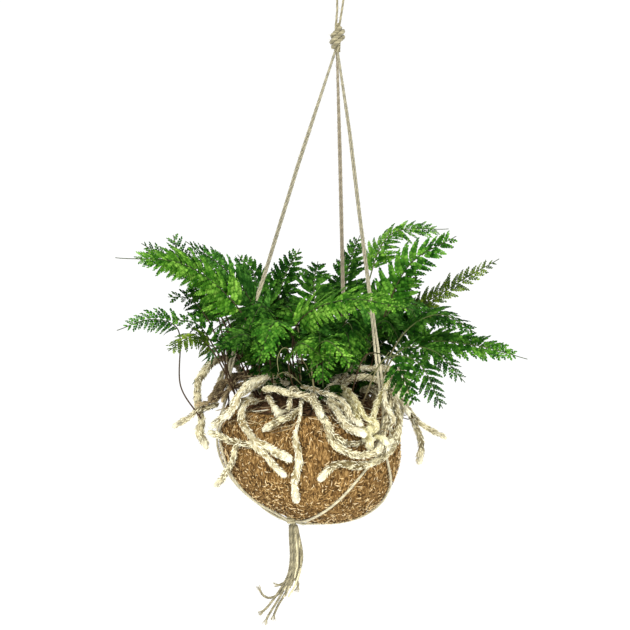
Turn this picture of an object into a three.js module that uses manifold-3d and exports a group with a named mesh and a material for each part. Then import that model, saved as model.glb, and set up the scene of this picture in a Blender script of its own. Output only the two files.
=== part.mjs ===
// A rabbit's-foot fern growing in a ball of coir fibre, hung in a three-legged jute hanger.
// Millimetres, +Z up, +X to the right and +Y to the back. The origin is where a hook bears:
// the inside top of the hanger's loop. The plant, the cords and the tassel are placed from
// the middle of the coir ball.
import * as THREE from 'three';
import { mergeVertices } from 'three/addons/utils/BufferGeometryUtils.js';
import Module from 'manifold-3d';

const wasm = await Module();
wasm.setup();

// Driving dimensions
const gap = 0.3; // air left between pieces that touch
const sampling = 3; // spacing of the places where a laid stem or cord is tested
const cordAcross = 2.8;
const cordSides = 8;
const legSides = 6;
const cordStep = 20;
const tailStep = 8;
const loopStep = 7;
const legSpread = 1.7; // half the spacing of the two cords of a leg

const ball = {
  centre: new THREE.Vector3(-30, 0, -480),
  radius: 91.5, // across its own axis
  half: 74, // along its own axis
  squareness: 2.2, // 2 is a plain ellipse
  lean: THREE.MathUtils.degToRad(22), // its foot leans to the left
  wall: 7,
  opening: 40, // height of the level cut, over the centre
  crown: 52, // height of the middle of the growing medium
  crownRadius: 235,
};

const topKnot = { x: -3, top: -58, height: 27, girth: 6.6, end: 5.2 };
const bottomKnot = { at: [-17, -20], top: -64, foot: -79, girth: 6.8, end: 5.4 };
const loop = {
  across: 3.8,
  points: [
    [-5.2, 0, -57.7], [-3.2, 0.5, -48], [-3.6, 0.5, -36], [-7.2, 0, -20], [-7, 0, -7],
    [0, 0, 1.9],
    [7, 0, -7], [7.2, 0, -20], [3.4, -0.5, -36], [1.6, -0.5, -48], [-0.6, 0, -57.7],
  ],
};

// Places are millimetres from the ball's middle.
// A leg is two cords that run side by side from the top knot to the opening's rim,
// and part below it on the way to the knot under the ball.
const legs = {
  left: {
    upper: [[23, -1, 394], [-12, -1, 279], [-47, -2, 165], [-75, -6, 84]],
    side: [0.95, -0.2, -0.3],
    lower: [
      [[-85, -13, 45], [-92, -16, 20], [-92, -19, -6], [-82, -24, -32], [-64, -27, -53], [-42, -26, -66], [-22, -22, -74]],
      [[-84, -7, 45], [-93, -6, 20], [-94, -4, -4], [-86, -2, -28], [-69, -6, -52], [-46, -12, -67], [-24, -18, -75]],
    ],
  },
  back: {
    upper: [[27, 3.6, 394], [30, 24, 290], [33, 45, 178], [36, 68, 68]],
    side: [1, 0, 0],
    lower: [
      [[37, 82, 38], [38, 88, 8], [33, 84, -26], [20, 64, -56], [4, 34, -76], [-10, -6, -78]],
      [[33, 83, 38], [29, 91, 8], [20, 86, -30], [4, 62, -58], [-8, 30, -73], [-16, -8, -76]],
    ],
  },
  right: {
    upper: [[31, -2, 394], [39, -13, 312], [48, -27, 236], [59, -43, 150], [69, -56, 66]],
    side: [1, 0.4, 0.2],
    lower: [
      [[71, -61, 44], [74, -66, 20], [68, -73, 2], [54, -79, -14], [38, -71, -33], [20, -58, -48], [0, -42, -62], [-12, -27, -71]],
      [[76, -60, 44], [79, -61, 20], [80, -62, -2], [82, -52, -20], [78, -30, -42], [52, -10, -66], [20, -8, -79], [-8, -16, -79]],
    ],
  },
};

// The tassel: six cord ends. They share a bundle, each in a lane of its own, then part.
const bundle = [[-17, -20, -79.4], [-16.8, -20, -94], [-16, -20, -110], [-17, -20, -122], [-19, -20, -131]];
const tails = {
  tail_long: { lane: [-1.6, -2.8], end: [[-28, -22, -148], [-37, -19, -164], [-43, -16, -175], [-46, -14, -183]] },
  tail_second: { lane: [1.6, -2.8], end: [[-24.4, -21.4, -148], [-32, -17, -162], [-36, -13, -172], [-38, -10, -180]] },
  tail_thin: { lane: [-3.2, 0], end: [[-29.6, -18.6, -145], [-38, -20, -157], [-45, -22, -165], [-52, -23, -170]] },
  tail_curled: { lane: [-1.6, 2.8], end: [[-27, -14.8, -145], [-34, -14.5, -153], [-42, -16, -155], [-48, -18, -151], [-52, -21, -141]] },
  tail_short: { lane: [1.6, 2.8], end: [[-21, -13, -137], [-27, -11, -141], [-32, -12, -143], [-37, -13, -142]] },
  tail_loose: { lane: [3.2, 0], bow: 5, end: [[-12, -20, -140], [-13, -20, -148]] },
};

// Creeping stems, in the order in which they lie on each other, lowest first.
const stemAcross = 9;
const branchShare = 0.85; // a branch is this much of its stem's thickness
const stemSides = 6;
const stemStep = 10;
const rhizomes = {
  rhizome_old_left: { across: 7, points: [[-38, -8, 60], [-60, -14, 62], [-80, -14, 56], [-97, -10, 42]] },
  rhizome_back_right: {
    points: [[18, 12, 50], [38, 30, 52], [60, 38, 52], [80, 32, 52], [94, 14, 42]],
    branch: [[48, 35, 50], [56, 58, 42], [62, 70, 22], [56, 78, 0]],
  },
  rhizome_back: {
    across: 8,
    points: [[14, 40, 50], [-12, 56, 48], [-40, 64, 46], [-64, 66, 36], [-80, 58, 18], [-88, 50, -2]],
    branch: [[-30, 62, 46], [-34, 78, 32], [-30, 90, 12], [-38, 92, -8]],
  },
  rhizome_back_middle: { across: 8, points: [[2, 46, 48], [4, 68, 46], [14, 84, 32], [10, 92, 8], [18, 90, -18]] },
  rhizome_rim_right: { across: 8, points: [[60, -34, 62], [74, -56, 52], [72, -66, 36], [70, -71, 20], [65, -76, 6]] },
  rhizome_yellow_right: { across: 8, points: [[66, -50, 60], [62, -74, 42], [58, -80, 28], [52, -86, 16]] },
  rhizome_yellow: { across: 8, points: [[26, -36, 60], [40, -66, 52], [47, -82, 38], [50, -87, 24], [57, -85, 9]] },
  rhizome_slant: { points: [[10, -38, 58], [23, -70, 48], [34, -85, 34], [46, -88, 20]] },
  rhizome_short_front: { across: 7, points: [[-42, -60, 58], [-34, -72, 48], [-27, -83, 38]] },
  rhizome_front: { across: 8, points: [[-8, -74, 46], [-20, -85, 39], [-34, -84, 34], [-46, -82, 26]] },
  rhizome_fork_right: { points: [[-6, -66, 55], [-11, -88, 34], [-15, -94, 22], [-10, -97, 8], [-10, -97, -6], [-15, -92, -23], [-12, -83, -44]] },
  rhizome_low_left: {
    across: 8,
    points: [[-56, -76, 12], [-70, -66, 12], [-84, -46, 14], [-101, -28, 17]],
    branch: [[-70, -66, 12], [-76, -60, -6], [-84, -30, -27], [-96, -14, -42]],
  },
  rhizome_fork_left: {
    points: [[-64, -60, 46], [-66, -68, 36], [-57, -77, 22], [-41, -89, 13], [-27, -94, 6], [-16, -97, 0]],
    branch: [[-50, -83, 18], [-43, -88, 4], [-34, -92, -5], [-23, -93, -17]],
  },
  rhizome_inner_right: { points: [[-6, -40, 60], [6, -72, 50], [16, -92, 35], [22, -97, 20], [35, -96, 8], [51, -90, 5], [66, -80, 11]] },
  rhizome_swoop: { points: [[77, -40, 62], [85, -60, 40], [84, -66, 16], [69, -78, -1], [50, -88, -6], [32, -94, -3], [20, -97, -8], [8, -96, -19]] },
  rhizome_drop_right: {
    across: 8,
    points: [[60, -16, 48], [76, -16, 54], [92, -14, 44], [102, -14, 28], [108, -14, 12], [112, -14, -4], [109, -14, -20]],
    branch: [[98, -14, 35], [108, -17, 24], [121, -20, 17], [136, -22, 8]],
  },
  rhizome_arch_left: { points: [[-14, -30, 62], [-30, -42, 70], [-46, -50, 71], [-60, -56, 63], [-70, -57, 50], [-82, -48, 37], [-96, -35, 22]] },
  rhizome_loop_left: { points: [[-42, 40, 42], [-56, 32, 46], [-69, 24, 68], [-82, 15, 84], [-97, 4, 82], [-109, -6, 67], [-113, -16, 49], [-107, -24, 28], [-102, -28, -1]] },
  rhizome_tip_left: { across: 7, points: [[-90, -25, 44], [-106, -28, 38], [-122, -26, 30], [-137, -25, 20]] },
};

// Fronds: the stalk rises from its root to the neck, where the blade starts, and arches by
// way of the bow to the tip. The face is the way the blade's upper side looks. A root with
// no height of its own is in the growing medium.
const frondThickness = 1.2;
const stalkRadius = 1.1;
const rootDepth = 4;
const stalkSides = 4;
const stalkPoints = 24;
const stalkStep = 22;
const bladeShape = {
  start: 0.34, // where the neck lies along the stalk
  pairs: 4,
  spread: 0.88, // how far along the blade the pairs reach
  chord: 0.036, // half a leaflet's width at the stalk, as a share of the frond's length
  taper: 0.9,
  sweep: 0.5, // how far a leaflet leans forward
};
const fronds = {
  frond_left_long: { root: [-46, -20], neck: [-60, -32, 124], bow: [-118, -62, 184], tip: [-184, -90, 194], width: 92, face: [-0.2, -0.7, 0.7] },
  frond_left_high: { root: [-42, 0], neck: [-50, -4, 124], bow: [-78, -18, 172], tip: [-122, -30, 206], width: 76, face: [0.2, -0.7, 0.7] },
  frond_back_left_high: { root: [-46, 30], neck: [-48, 48, 122], bow: [-55, 68, 160], tip: [-76, 90, 184], width: 60, face: [-0.2, -0.6, 0.8] },
  frond_back_tip: { root: [-26, 34], neck: [-34, 56, 120], bow: [-28, 76, 158], tip: [-11, 96, 190], width: 62, face: [0.2, -0.8, 0.5] },
  frond_left_low: { root: [-108, -28, 30], neck: [-130, -43, 122], bow: [-154, -52, 131], tip: [-186, -66, 122], width: 72, face: [-0.1, -0.9, 0.3] },
  frond_left_small: { root: [-66, -28], neck: [-96, -64, 104], bow: [-112, -80, 117], tip: [-134, -98, 106], width: 46, face: [-0.3, -0.7, 0.6] },
  frond_left_middle: { root: [-80, -8], neck: [-91, -2, 126], bow: [-102, 8, 148], tip: [-124, 16, 158], width: 62, face: [-0.4, -0.7, 0.6] },
  frond_front_left: { root: [-35, -38], neck: [-42, -78, 104], bow: [-62, -100, 122], tip: [-88, -118, 112], width: 78, face: [-0.3, -0.6, 0.7] },
  frond_front_short: { root: [-10, -50], neck: [-20, -84, 96], bow: [-8, -104, 114], tip: [16, -120, 100], width: 56, face: [0.2, -0.6, 0.7] },
  frond_front_crossing: { root: [-14, -28], neck: [-12, -66, 128], bow: [34, -100, 155], tip: [97, -128, 148], width: 74, face: [0.1, -0.7, 0.7] },
  frond_front_middle: { root: [6, -46], neck: [3, -96, 104], bow: [18, -122, 118], tip: [40, -140, 96], width: 56, face: [0.3, -0.7, 0.6] },
  frond_right_top: { root: [35, 20], neck: [58, 30, 150], bow: [80, 40, 202], tip: [142, 56, 213], width: 66, face: [-0.3, -0.6, 0.7] },
  frond_back_right_high: { root: [26, 28], neck: [34, 52, 130], bow: [40, 74, 174], tip: [52, 92, 204], width: 64, face: [-0.1, -0.8, 0.6] },
  frond_right_high: { root: [53, 0], neck: [76, -10, 136], bow: [100, -22, 184], tip: [143, -34, 213], width: 92, face: [0.2, -0.8, 0.6] },
  frond_right_edge: { root: [64, 14], neck: [99, 18, 124], bow: [144, 14, 158], tip: [189, 4, 186], width: 50, face: [-0.5, 0.1, 0.8] },
  frond_right_middle: { root: [57, -16], neck: [94, -38, 118], bow: [126, -54, 136], tip: [160, -70, 120], width: 66, face: [0.2, -0.5, 0.8] },
  frond_right_long: { root: [72, -8], neck: [110, -22, 102], bow: [162, -38, 104], tip: [212, -50, 92], width: 62, face: [0, -0.7, 0.7] },
  frond_right_droop: { root: [58, -30], neck: [88, -60, 102], bow: [118, -80, 104], tip: [148, -92, 75], width: 56, face: [0.3, -0.7, 0.6] },
  frond_front_right: { root: [48, -42], neck: [74, -84, 98], bow: [102, -106, 96], tip: [125, -118, 54], width: 50, face: [0.4, -0.8, 0.4] },
  frond_front_right_low: { root: [36, -46], neck: [56, -102, 104], bow: [80, -122, 98], tip: [97, -132, 60], width: 46, face: [0.3, -0.9, 0.4] },
  frond_middle_back: { root: [4, 10], neck: [6, 28, 122], bow: [4, 48, 156], tip: [8, 76, 178], width: 80, face: [0, -0.6, 0.8] },
  frond_back: { root: [8, 46], neck: [18, 88, 116], bow: [28, 122, 130], tip: [44, 156, 114], width: 76, face: [0, 0.5, 0.8] },
  frond_back_left: { root: [-32, 44], neck: [-46, 88, 108], bow: [-64, 122, 116], tip: [-88, 152, 94], width: 76, face: [-0.3, 0.4, 0.8] },
  frond_back_right: { root: [46, 36], neck: [80, 66, 110], bow: [114, 94, 122], tip: [150, 122, 104], width: 72, face: [0.3, 0.3, 0.9] },
};

const colours = {
  coir: 0xa9794a,
  medium: 0x4a3524,
  jute: 0xcdbb92,
  rhizome: 0xd8cba3,
  frond: 0x4f8a1f,
};

const plant = new THREE.Group();
plant.name = 'hanging_fern';

function vectors(points) {
  return points.map((point) => new THREE.Vector3(...point));
}

// Solids

function solidOf(geometry) {
  const plain = geometry.clone();
  plain.deleteAttribute('normal');
  plain.deleteAttribute('uv');
  const merged = mergeVertices(plain, 1e-4);
  const corners = merged.index.array;
  const triVerts = [];
  for (let i = 0; i < corners.length; i += 3) {
    const [a, b, c] = corners.slice(i, i + 3);
    if (a !== b && b !== c && c !== a) triVerts.push(a, b, c);
  }
  const vertProperties = merged.attributes.position.array;
  return new wasm.Manifold(new wasm.Mesh({
    numProp: 3, vertProperties, triVerts: Uint32Array.from(triVerts),
  }));
}

function largest(solid) {
  return solid.decompose().reduce((best, body) => (body.volume() > best.volume() ? body : best));
}

function addPiece(name, solid, colour, roughness = 0.9) {
  const { vertProperties, triVerts } = solid.getMesh();
  const geometry = new THREE.BufferGeometry();
  geometry.setAttribute('position', new THREE.BufferAttribute(vertProperties, 3));
  geometry.setIndex(new THREE.BufferAttribute(triVerts, 1));
  geometry.computeVertexNormals();
  const material = new THREE.MeshStandardMaterial({ color: colour, roughness, metalness: 0 });
  const mesh = new THREE.Mesh(geometry, material);
  mesh.name = name;
  plant.add(mesh);
}

function polygon(radius, sides) {
  const corners = [];
  for (let i = 0; i < sides; i += 1) {
    const angle = (2 * Math.PI * i) / sides;
    corners.push(new THREE.Vector2(radius * Math.cos(angle), radius * Math.sin(angle)));
  }
  return new THREE.Shape(corners);
}

function tube(route, radius, sides, step) {
  const extrudePath = new THREE.CatmullRomCurve3(route);
  const steps = Math.max(3, Math.round(extrudePath.getLength() / step));
  return solidOf(new THREE.ExtrudeGeometry(polygon(radius, sides), { steps, extrudePath, bevelEnabled: false }));
}

// A turned solid on the Z axis, from a profile of [radius, height] points.
function turned(profile, segments) {
  const geometry = new THREE.LatheGeometry(profile.map(([r, z]) => new THREE.Vector2(r, z)), segments);
  geometry.rotateX(Math.PI / 2);
  return geometry;
}

// The ball

function ballSolid(grown) {
  const profile = [];
  const rings = 10;
  const power = 2 / ball.squareness;
  for (let i = 0; i <= rings; i += 1) {
    const angle = Math.PI * (i / rings - 0.5);
    const across = i === 0 || i === rings ? 0 : Math.cos(angle) ** power;
    const along = Math.sign(angle) * Math.abs(Math.sin(angle)) ** power;
    profile.push([(ball.radius + grown) * across, (ball.half + grown) * along]);
  }
  const geometry = turned(profile, 24);
  geometry.rotateY(ball.lean);
  return solidOf(geometry);
}

function blockAbove(height) {
  const side = 4 * ball.radius;
  const geometry = new THREE.BoxGeometry(side, side, side);
  geometry.translate(0, 0, height + side / 2);
  return solidOf(geometry);
}

function crownSolid(grown) {
  const geometry = new THREE.SphereGeometry(ball.crownRadius + grown, 28, 48);
  geometry.rotateX(Math.PI / 2);
  geometry.translate(0, 0, ball.crown - ball.crownRadius);
  return solidOf(geometry);
}

const placed = (solid) => solid.translate(ball.centre.toArray());

const shell = ballSolid(0).subtract(ballSolid(-ball.wall)).subtract(blockAbove(ball.opening));
const medium = ballSolid(-ball.wall - gap).intersect(crownSolid(0));
const ballClearance = ballSolid(gap).subtract(blockAbove(ball.opening + gap)).add(
  ballSolid(-ball.wall).intersect(crownSolid(gap)),
);

// Laying stems and cords on the ball and over each other

const axis = new THREE.Vector3(Math.sin(ball.lean), 0, Math.cos(ball.lean));
const crownCentre = new THREE.Vector3(0, 0, ball.crown - ball.crownRadius);

// Height of a place over the skin of the planted ball, negative inside it.
function overBall(place) {
  const n = ball.squareness;
  const along = Math.abs(place.dot(axis));
  const across = Math.sqrt(Math.max(place.lengthSq() - along * along, 0));
  const u = across / ball.radius;
  const v = along / ball.half;
  const size = (u ** n + v ** n) ** (1 / n);
  const slope = Math.hypot(u ** (n - 1) / ball.radius, v ** (n - 1) / ball.half) * size ** (1 - n);
  const overSide = (size - 1) / slope;
  const overTop = Math.min(place.z - ball.opening, place.distanceTo(crownCentre) - ball.crownRadius);
  return Math.max(overSide, overTop);
}

function outward(place) {
  const reach = 0.5;
  const slope = new THREE.Vector3();
  for (const side of ['x', 'y', 'z']) {
    const ahead = place.clone();
    const behind = place.clone();
    ahead[side] += reach;
    behind[side] -= reach;
    slope[side] = overBall(ahead) - overBall(behind);
  }
  return slope.normalize();
}

// Moves a place out until a round section there clears the ball and the routes below it.
function lift(place, radius, below) {
  const short = radius + gap - overBall(place);
  if (short > 0) place.addScaledVector(outward(place), short);
  const out = outward(place);
  let rise = 0;
  for (const other of below) {
    const reach = radius + other.radius + gap;
    for (const point of other.route) {
      const apart = place.clone().sub(point);
      if (apart.length() < reach) {
        const along = apart.dot(out);
        rise = Math.max(rise, Math.sqrt(along * along - apart.lengthSq() + reach * reach) - along);
      }
    }
  }
  place.addScaledVector(out, rise);
}

function smooth(route) {
  return route.map((place, i) => {
    if (i === 0 || i === route.length - 1) return place.clone();
    return place.clone().multiplyScalar(2).add(route[i - 1]).add(route[i + 1]).divideScalar(4);
  });
}

function lay(points, radius, below) {
  const curve = new THREE.CatmullRomCurve3(vectors(points));
  let route = curve.getSpacedPoints(Math.round(curve.getLength() / sampling));
  const rounds = 5;
  for (let round = 0; round < rounds; round += 1) {
    for (const place of route) lift(place, radius, below);
    route = smooth(route);
  }
  for (const place of route) lift(place, radius, below);
  return route;
}

// The hanger

const cordRadius = cordAcross / 2;

function knotSolid({ girth, end }, bottom, height, grown) {
  const g = girth + grown;
  const e = end + grown;
  const profile = [
    [0, -grown], [e, -grown], [g * 0.94, 0.14 * height], [g, 0.36 * height], [g * 0.92, 0.5 * height],
    [g, 0.66 * height], [g * 0.9, 0.88 * height], [e, height + grown], [0, height + grown],
  ];
  const geometry = turned(profile, 12);
  geometry.translate(0, 0, bottom);
  return solidOf(geometry);
}

const topKnotAt = [topKnot.x, 0, 0];
const topKnotFoot = topKnot.top - topKnot.height;
const topKnotSolid = knotSolid(topKnot, topKnotFoot, topKnot.height, 0).translate(topKnotAt);
const topKnotGrown = knotSolid(topKnot, topKnotFoot, topKnot.height, gap).translate(topKnotAt);

const bottomKnotHeight = bottomKnot.top - bottomKnot.foot;
const bottomKnotAt = [...bottomKnot.at, 0];
const bottomKnotGrown = knotSolid(bottomKnot, bottomKnot.foot, bottomKnotHeight, gap).translate(bottomKnotAt);
const bottomKnotSolid = largest(
  knotSolid(bottomKnot, bottomKnot.foot, bottomKnotHeight, 0).translate(bottomKnotAt).subtract(ballClearance),
);

const laidCords = [];
const cordClearances = [];
const cordSolids = {};
for (const [side, leg] of Object.entries(legs)) {
  leg.lower.forEach((lower, strand) => {
    const spread = new THREE.Vector3(...leg.side).normalize().multiplyScalar(legSpread * (strand === 0 ? -1 : 1));
    const upper = vectors(leg.upper).map((place) => place.add(spread));
    const points = [...upper.map((place) => place.toArray()), ...lower];
    const route = lay(points, cordRadius + gap, laidCords);
    laidCords.push({ route, radius: cordRadius });
    const cord = tube(route, cordRadius, legSides, cordStep);
    cordSolids[`leg_${side}_${strand + 1}`] = cordClearances.reduce((rest, other) => rest.subtract(other), cord);
    cordClearances.push(tube(route, cordRadius + gap, legSides, cordStep));
  });
}

const tailSolids = {};
for (const [name, tail] of Object.entries(tails)) {
  const shared = bundle.map(([x, y, z], i) => {
    const bow = (tail.bow ?? 0) * Math.sin((Math.PI * i) / (bundle.length - 0.5));
    return [x + tail.lane[0] + bow, y + tail.lane[1], z];
  });
  tailSolids[name] = tube(vectors([...shared, ...tail.end]), cordRadius, cordSides, tailStep);
}

// The creeping stems

const laidStems = [...laidCords];
const stemClearances = [];
const stemSolids = {};
for (const [name, { across = stemAcross, points, branch }] of Object.entries(rhizomes)) {
  const runs = [{ points, radius: across / 2 }];
  if (branch) runs.push({ points: branch, radius: (across / 2) * branchShare });
  const laid = runs.map((run) => ({ route: lay(run.points, run.radius, laidStems), radius: run.radius }));
  laidStems.push(...laid);
  const grown = (extra) => wasm.Manifold.union(
    laid.map(({ route, radius }) => tube(route, radius + extra, stemSides, stemStep)),
  );
  stemSolids[name] = grown(0);
  stemClearances.push(grown(gap));
}

// The fronds

function frondCurve({ root, neck, bow, tip }) {
  const [x, y] = root;
  const crownHeight = crownCentre.z + Math.sqrt(ball.crownRadius ** 2 - x * x - y * y);
  const start = root.length === 3 ? root : [x, y, crownHeight - rootDepth];
  return new THREE.CatmullRomCurve3(vectors([start, neck, bow, tip]));
}

// One pair of leaflets, or the end leaflet, as a thin plate across the stalk.
function plate(corners, thickness, matrix) {
  const shape = new THREE.Shape(corners.map(([x, y]) => new THREE.Vector2(x, y)));
  const geometry = new THREE.ExtrudeGeometry(shape, { depth: thickness, bevelEnabled: false });
  geometry.translate(0, 0, -thickness / 2);
  geometry.applyMatrix4(matrix);
  return solidOf(geometry);
}

function blade(frond, grown) {
  const curve = frondCurve(frond);
  const chord = curve.getLength() * bladeShape.chord + 2 * grown;
  const plates = [];
  for (let pair = 0; pair <= bladeShape.pairs; pair += 1) {
    const t = bladeShape.start + (1 - bladeShape.start) * (pair / bladeShape.pairs) * bladeShape.spread;
    const forward = curve.getTangent(t);
    const up = new THREE.Vector3(...frond.face);
    up.addScaledVector(forward, -up.dot(forward)).normalize();
    const side = new THREE.Vector3().crossVectors(forward, up);
    const matrix = new THREE.Matrix4().makeBasis(side, forward, up).setPosition(curve.getPoint(t));
    const share = 1 - pair / (bladeShape.pairs + 1);
    const reach = (frond.width / 2) * share ** bladeShape.taper + grown;
    const ahead = pair < bladeShape.pairs ? chord : curve.getPoint(t).distanceTo(curve.getPoint(1));
    const sweep = pair < bladeShape.pairs ? reach * bladeShape.sweep : 0;
    const corners = [[0, -chord], [reach, sweep], [0, ahead], [-reach, sweep]];
    plates.push(plate(corners, frondThickness + 2 * grown, matrix));
  }
  return wasm.Manifold.union(plates);
}

function stalk(frond, grown) {
  const route = frondCurve(frond).getPoints(stalkPoints);
  return tube(route.slice(0, -1), stalkRadius + grown, stalkSides, stalkStep);
}

const frondNames = Object.keys(fronds);
const stalkClearances = frondNames.map((name) => stalk(fronds[name], gap));
const carriers = wasm.Manifold.union([ballClearance, ...stemClearances, ...cordClearances]);
const frondSolids = {};
let laidBlades = null;
frondNames.forEach((name, i) => {
  const frond = fronds[name];
  const otherStalks = wasm.Manifold.union(stalkClearances.filter((_, other) => other !== i));
  let leaf = blade(frond, 0).subtract(otherStalks);
  if (laidBlades) leaf = leaf.subtract(laidBlades);
  frondSolids[name] = largest(leaf.add(stalk(frond, 0)).subtract(carriers));
  const grownBlade = blade(frond, gap);
  laidBlades = laidBlades ? laidBlades.add(grownBlade) : grownBlade;
});

// The object

addPiece('coir_ball', placed(shell), colours.coir);
addPiece('growing_medium', placed(medium), colours.medium, 1);
const loopSolid = tube(vectors(loop.points), loop.across / 2, cordSides, loopStep);
addPiece('hanging_loop', largest(loopSolid.subtract(topKnotGrown)), colours.jute);
addPiece('top_knot', topKnotSolid, colours.jute);
for (const [name, solid] of Object.entries(cordSolids)) {
  const free = placed(solid.subtract(bottomKnotGrown).subtract(ballClearance)).subtract(topKnotGrown);
  addPiece(name, largest(free), colours.jute);
}
addPiece('bottom_knot', placed(bottomKnotSolid), colours.jute);
for (const [name, solid] of Object.entries(tailSolids)) addPiece(name, placed(solid), colours.jute);
const stemNames = Object.keys(stemSolids);
stemNames.forEach((name, i) => {
  const under = wasm.Manifold.union([ballClearance, ...cordClearances, ...stemClearances.slice(0, i)]);
  addPiece(name, placed(largest(stemSolids[name].subtract(under))), colours.rhizome);
});
for (const [name, solid] of Object.entries(frondSolids)) addPiece(name, placed(solid), colours.frond, 0.6);

export default plant;
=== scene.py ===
import itertools
import math
import random

import bmesh
import bpy
import numpy as np
from mathutils import Matrix, Vector, noise


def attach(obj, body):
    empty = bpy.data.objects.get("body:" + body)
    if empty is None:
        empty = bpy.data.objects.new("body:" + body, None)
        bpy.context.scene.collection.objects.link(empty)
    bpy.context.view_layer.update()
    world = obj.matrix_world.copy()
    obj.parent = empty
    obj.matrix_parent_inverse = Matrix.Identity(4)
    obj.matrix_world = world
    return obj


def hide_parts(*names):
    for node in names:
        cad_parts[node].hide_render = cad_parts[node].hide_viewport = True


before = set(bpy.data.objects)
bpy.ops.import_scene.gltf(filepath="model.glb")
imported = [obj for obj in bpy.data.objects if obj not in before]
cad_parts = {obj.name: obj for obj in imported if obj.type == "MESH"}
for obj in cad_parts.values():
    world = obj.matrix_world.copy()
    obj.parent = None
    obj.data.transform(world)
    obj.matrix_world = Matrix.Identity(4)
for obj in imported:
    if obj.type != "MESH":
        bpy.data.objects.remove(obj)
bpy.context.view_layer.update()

# A rabbit's-foot fern in a ball of coir, hung in a jute hanger. Metres, +Z up, front towards -Y.
# The origin is the inside top of the hanger's loop. Stems, fronds and all cords below the loop are
# placed from the middle of the ball. Lists of points are in millimetres, and so are the widths,
# spacings and shifts of single stems, fronds and cords that stand beside them.

ball = {
    "centre": Vector((-0.03, 0, -0.48)),
    "radius": 0.0915,       # across its own axis
    "half": 0.074,          # along its own axis
    "squareness": 2.2,      # 2 is a plain ellipse
    "lean": math.radians(22),
    "wall": 0.007,
    "opening": 0.04,        # height of the level cut over the middle
    "crown": 0.052,         # height of the top of the potting mix
    "crownRadius": 0.235,
    "air": 0.0003,          # left between pieces that touch
}
ballAxis = np.array((math.sin(ball["lean"]), 0, math.cos(ball["lean"])))
crownCentre = np.array((0, 0, ball["crown"] - ball["crownRadius"]))
atBall = Matrix.Translation(ball["centre"])


# Camera

view = {"aim": Vector((-0.025, 0, -0.35)), "distance": 1.8, "downward": math.radians(6), "fieldWidth": 0.63}


def placeCamera():
    data = bpy.data.cameras.new("camera")
    data.sensor_width = 36
    data.lens = data.sensor_width * view["distance"] / view["fieldWidth"]
    camera = bpy.data.objects.new("camera", data)
    tilt = view["downward"]
    camera.location = view["aim"] + view["distance"] * Vector((0, -math.cos(tilt), math.sin(tilt)))
    camera.rotation_euler = (math.pi / 2 - tilt, 0, 0)
    bpy.context.scene.collection.objects.link(camera)
    bpy.context.scene.camera = camera


# Small tools that every piece uses

def showMesh(name, mesh, materials, smooth=True):
    for material in materials:
        mesh.materials.append(material)
    if smooth:
        mesh.polygons.foreach_set("use_smooth", [True] * len(mesh.polygons))
    piece = bpy.data.objects.new(name, mesh)
    bpy.context.scene.collection.objects.link(piece)
    return piece


def standFor(piece, node):
    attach(piece, "root")
    if node:
        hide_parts(node)


# For meshes made about the middle of the ball
def showAtBall(name, mesh, materials, node, smooth=True):
    mesh.transform(atBall)
    piece = showMesh(name, mesh, materials, smooth)
    standFor(piece, node)
    return piece


def setValues(mesh, label, values):
    mesh.attributes[label].data.foreach_set("value", np.asarray(values, np.float32))


def meshFrom(work, name):
    mesh = bpy.data.meshes.new(name)
    work.to_mesh(mesh)
    work.free()
    return mesh


def addCopy(work, mesh, matrix):
    moved = mesh.copy()
    moved.transform(matrix)
    work.from_mesh(moved)
    bpy.data.meshes.remove(moved)


def metres(points):
    return [tuple(value / 1000 for value in point) for point in points]


# A stem or frond as the tables give it, in metres
def inMetres(plan):
    sizes = {name: plan[name] / 1000 for name in ("across", "width", "spacing") if name in plan}
    routes = {name: metres(plan[name]) for name in ("points", "branch") if name in plan}
    return {**plan, **sizes, **routes}


def joined(name, meshes):
    work = bmesh.new()
    for mesh in meshes:
        work.from_mesh(mesh)
    return meshFrom(work, name)


def unit(vectors):
    return vectors / np.maximum(np.linalg.norm(vectors, axis=-1, keepdims=True), 1e-12)


# A smooth stray in three directions, the same each time for a place
def strayAt(place):
    return Vector([noise.noise(place + Vector(shift)) for shift in ((9, 0, 0), (0, 37, 0), (0, 0, 71))])


# A centripetal spline through the points, at shares t of the way
def alongSpline(points, t):
    p = np.asarray(points, float)
    place = np.clip(np.asarray(t, float), 0, 1) * (len(p) - 1)
    i = np.minimum(place.astype(int), len(p) - 2)
    w = (place - i)[:, None]
    ends = np.vstack([2 * p[0] - p[1], p, 2 * p[-1] - p[-2]])
    a, b, c, d = ends[i], ends[i + 1], ends[i + 2], ends[i + 3]
    before, here, after = (np.sqrt(np.linalg.norm(v, axis=1))[:, None] for v in (b - a, c - b, d - c))
    leave = ((b - a) / before - (c - a) / (before + here) + (c - b) / here) * here
    arrive = ((c - b) / here - (d - b) / (here + after) + (d - c) / after) * here
    return b + leave * w + (3 * (c - b) - 2 * leave - arrive) * w**2 + (2 * (b - c) + leave + arrive) * w**3


splineSamples = 201


def distances(route):
    return np.concatenate([[0], np.cumsum(np.linalg.norm(np.diff(route, axis=0), axis=1))])


def evenRoute(points, spacing):
    t = np.linspace(0, 1, splineSamples)
    lengths = distances(alongSpline(points, t))
    steps = max(2, round(lengths[-1] / spacing))
    return alongSpline(points, np.interp(np.linspace(0, lengths[-1], steps + 1), lengths, t))


# The rows of values at some places, read between those at the lengths
def readAt(places, lengths, values):
    return np.stack([np.interp(places, lengths, values[:, axis]) for axis in range(3)], axis=1)


def respaced(route, spacing):
    lengths = distances(route)
    steps = max(2, round(lengths[-1] / spacing))
    return readAt(np.linspace(0, lengths[-1], steps + 1), lengths, route)


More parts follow.
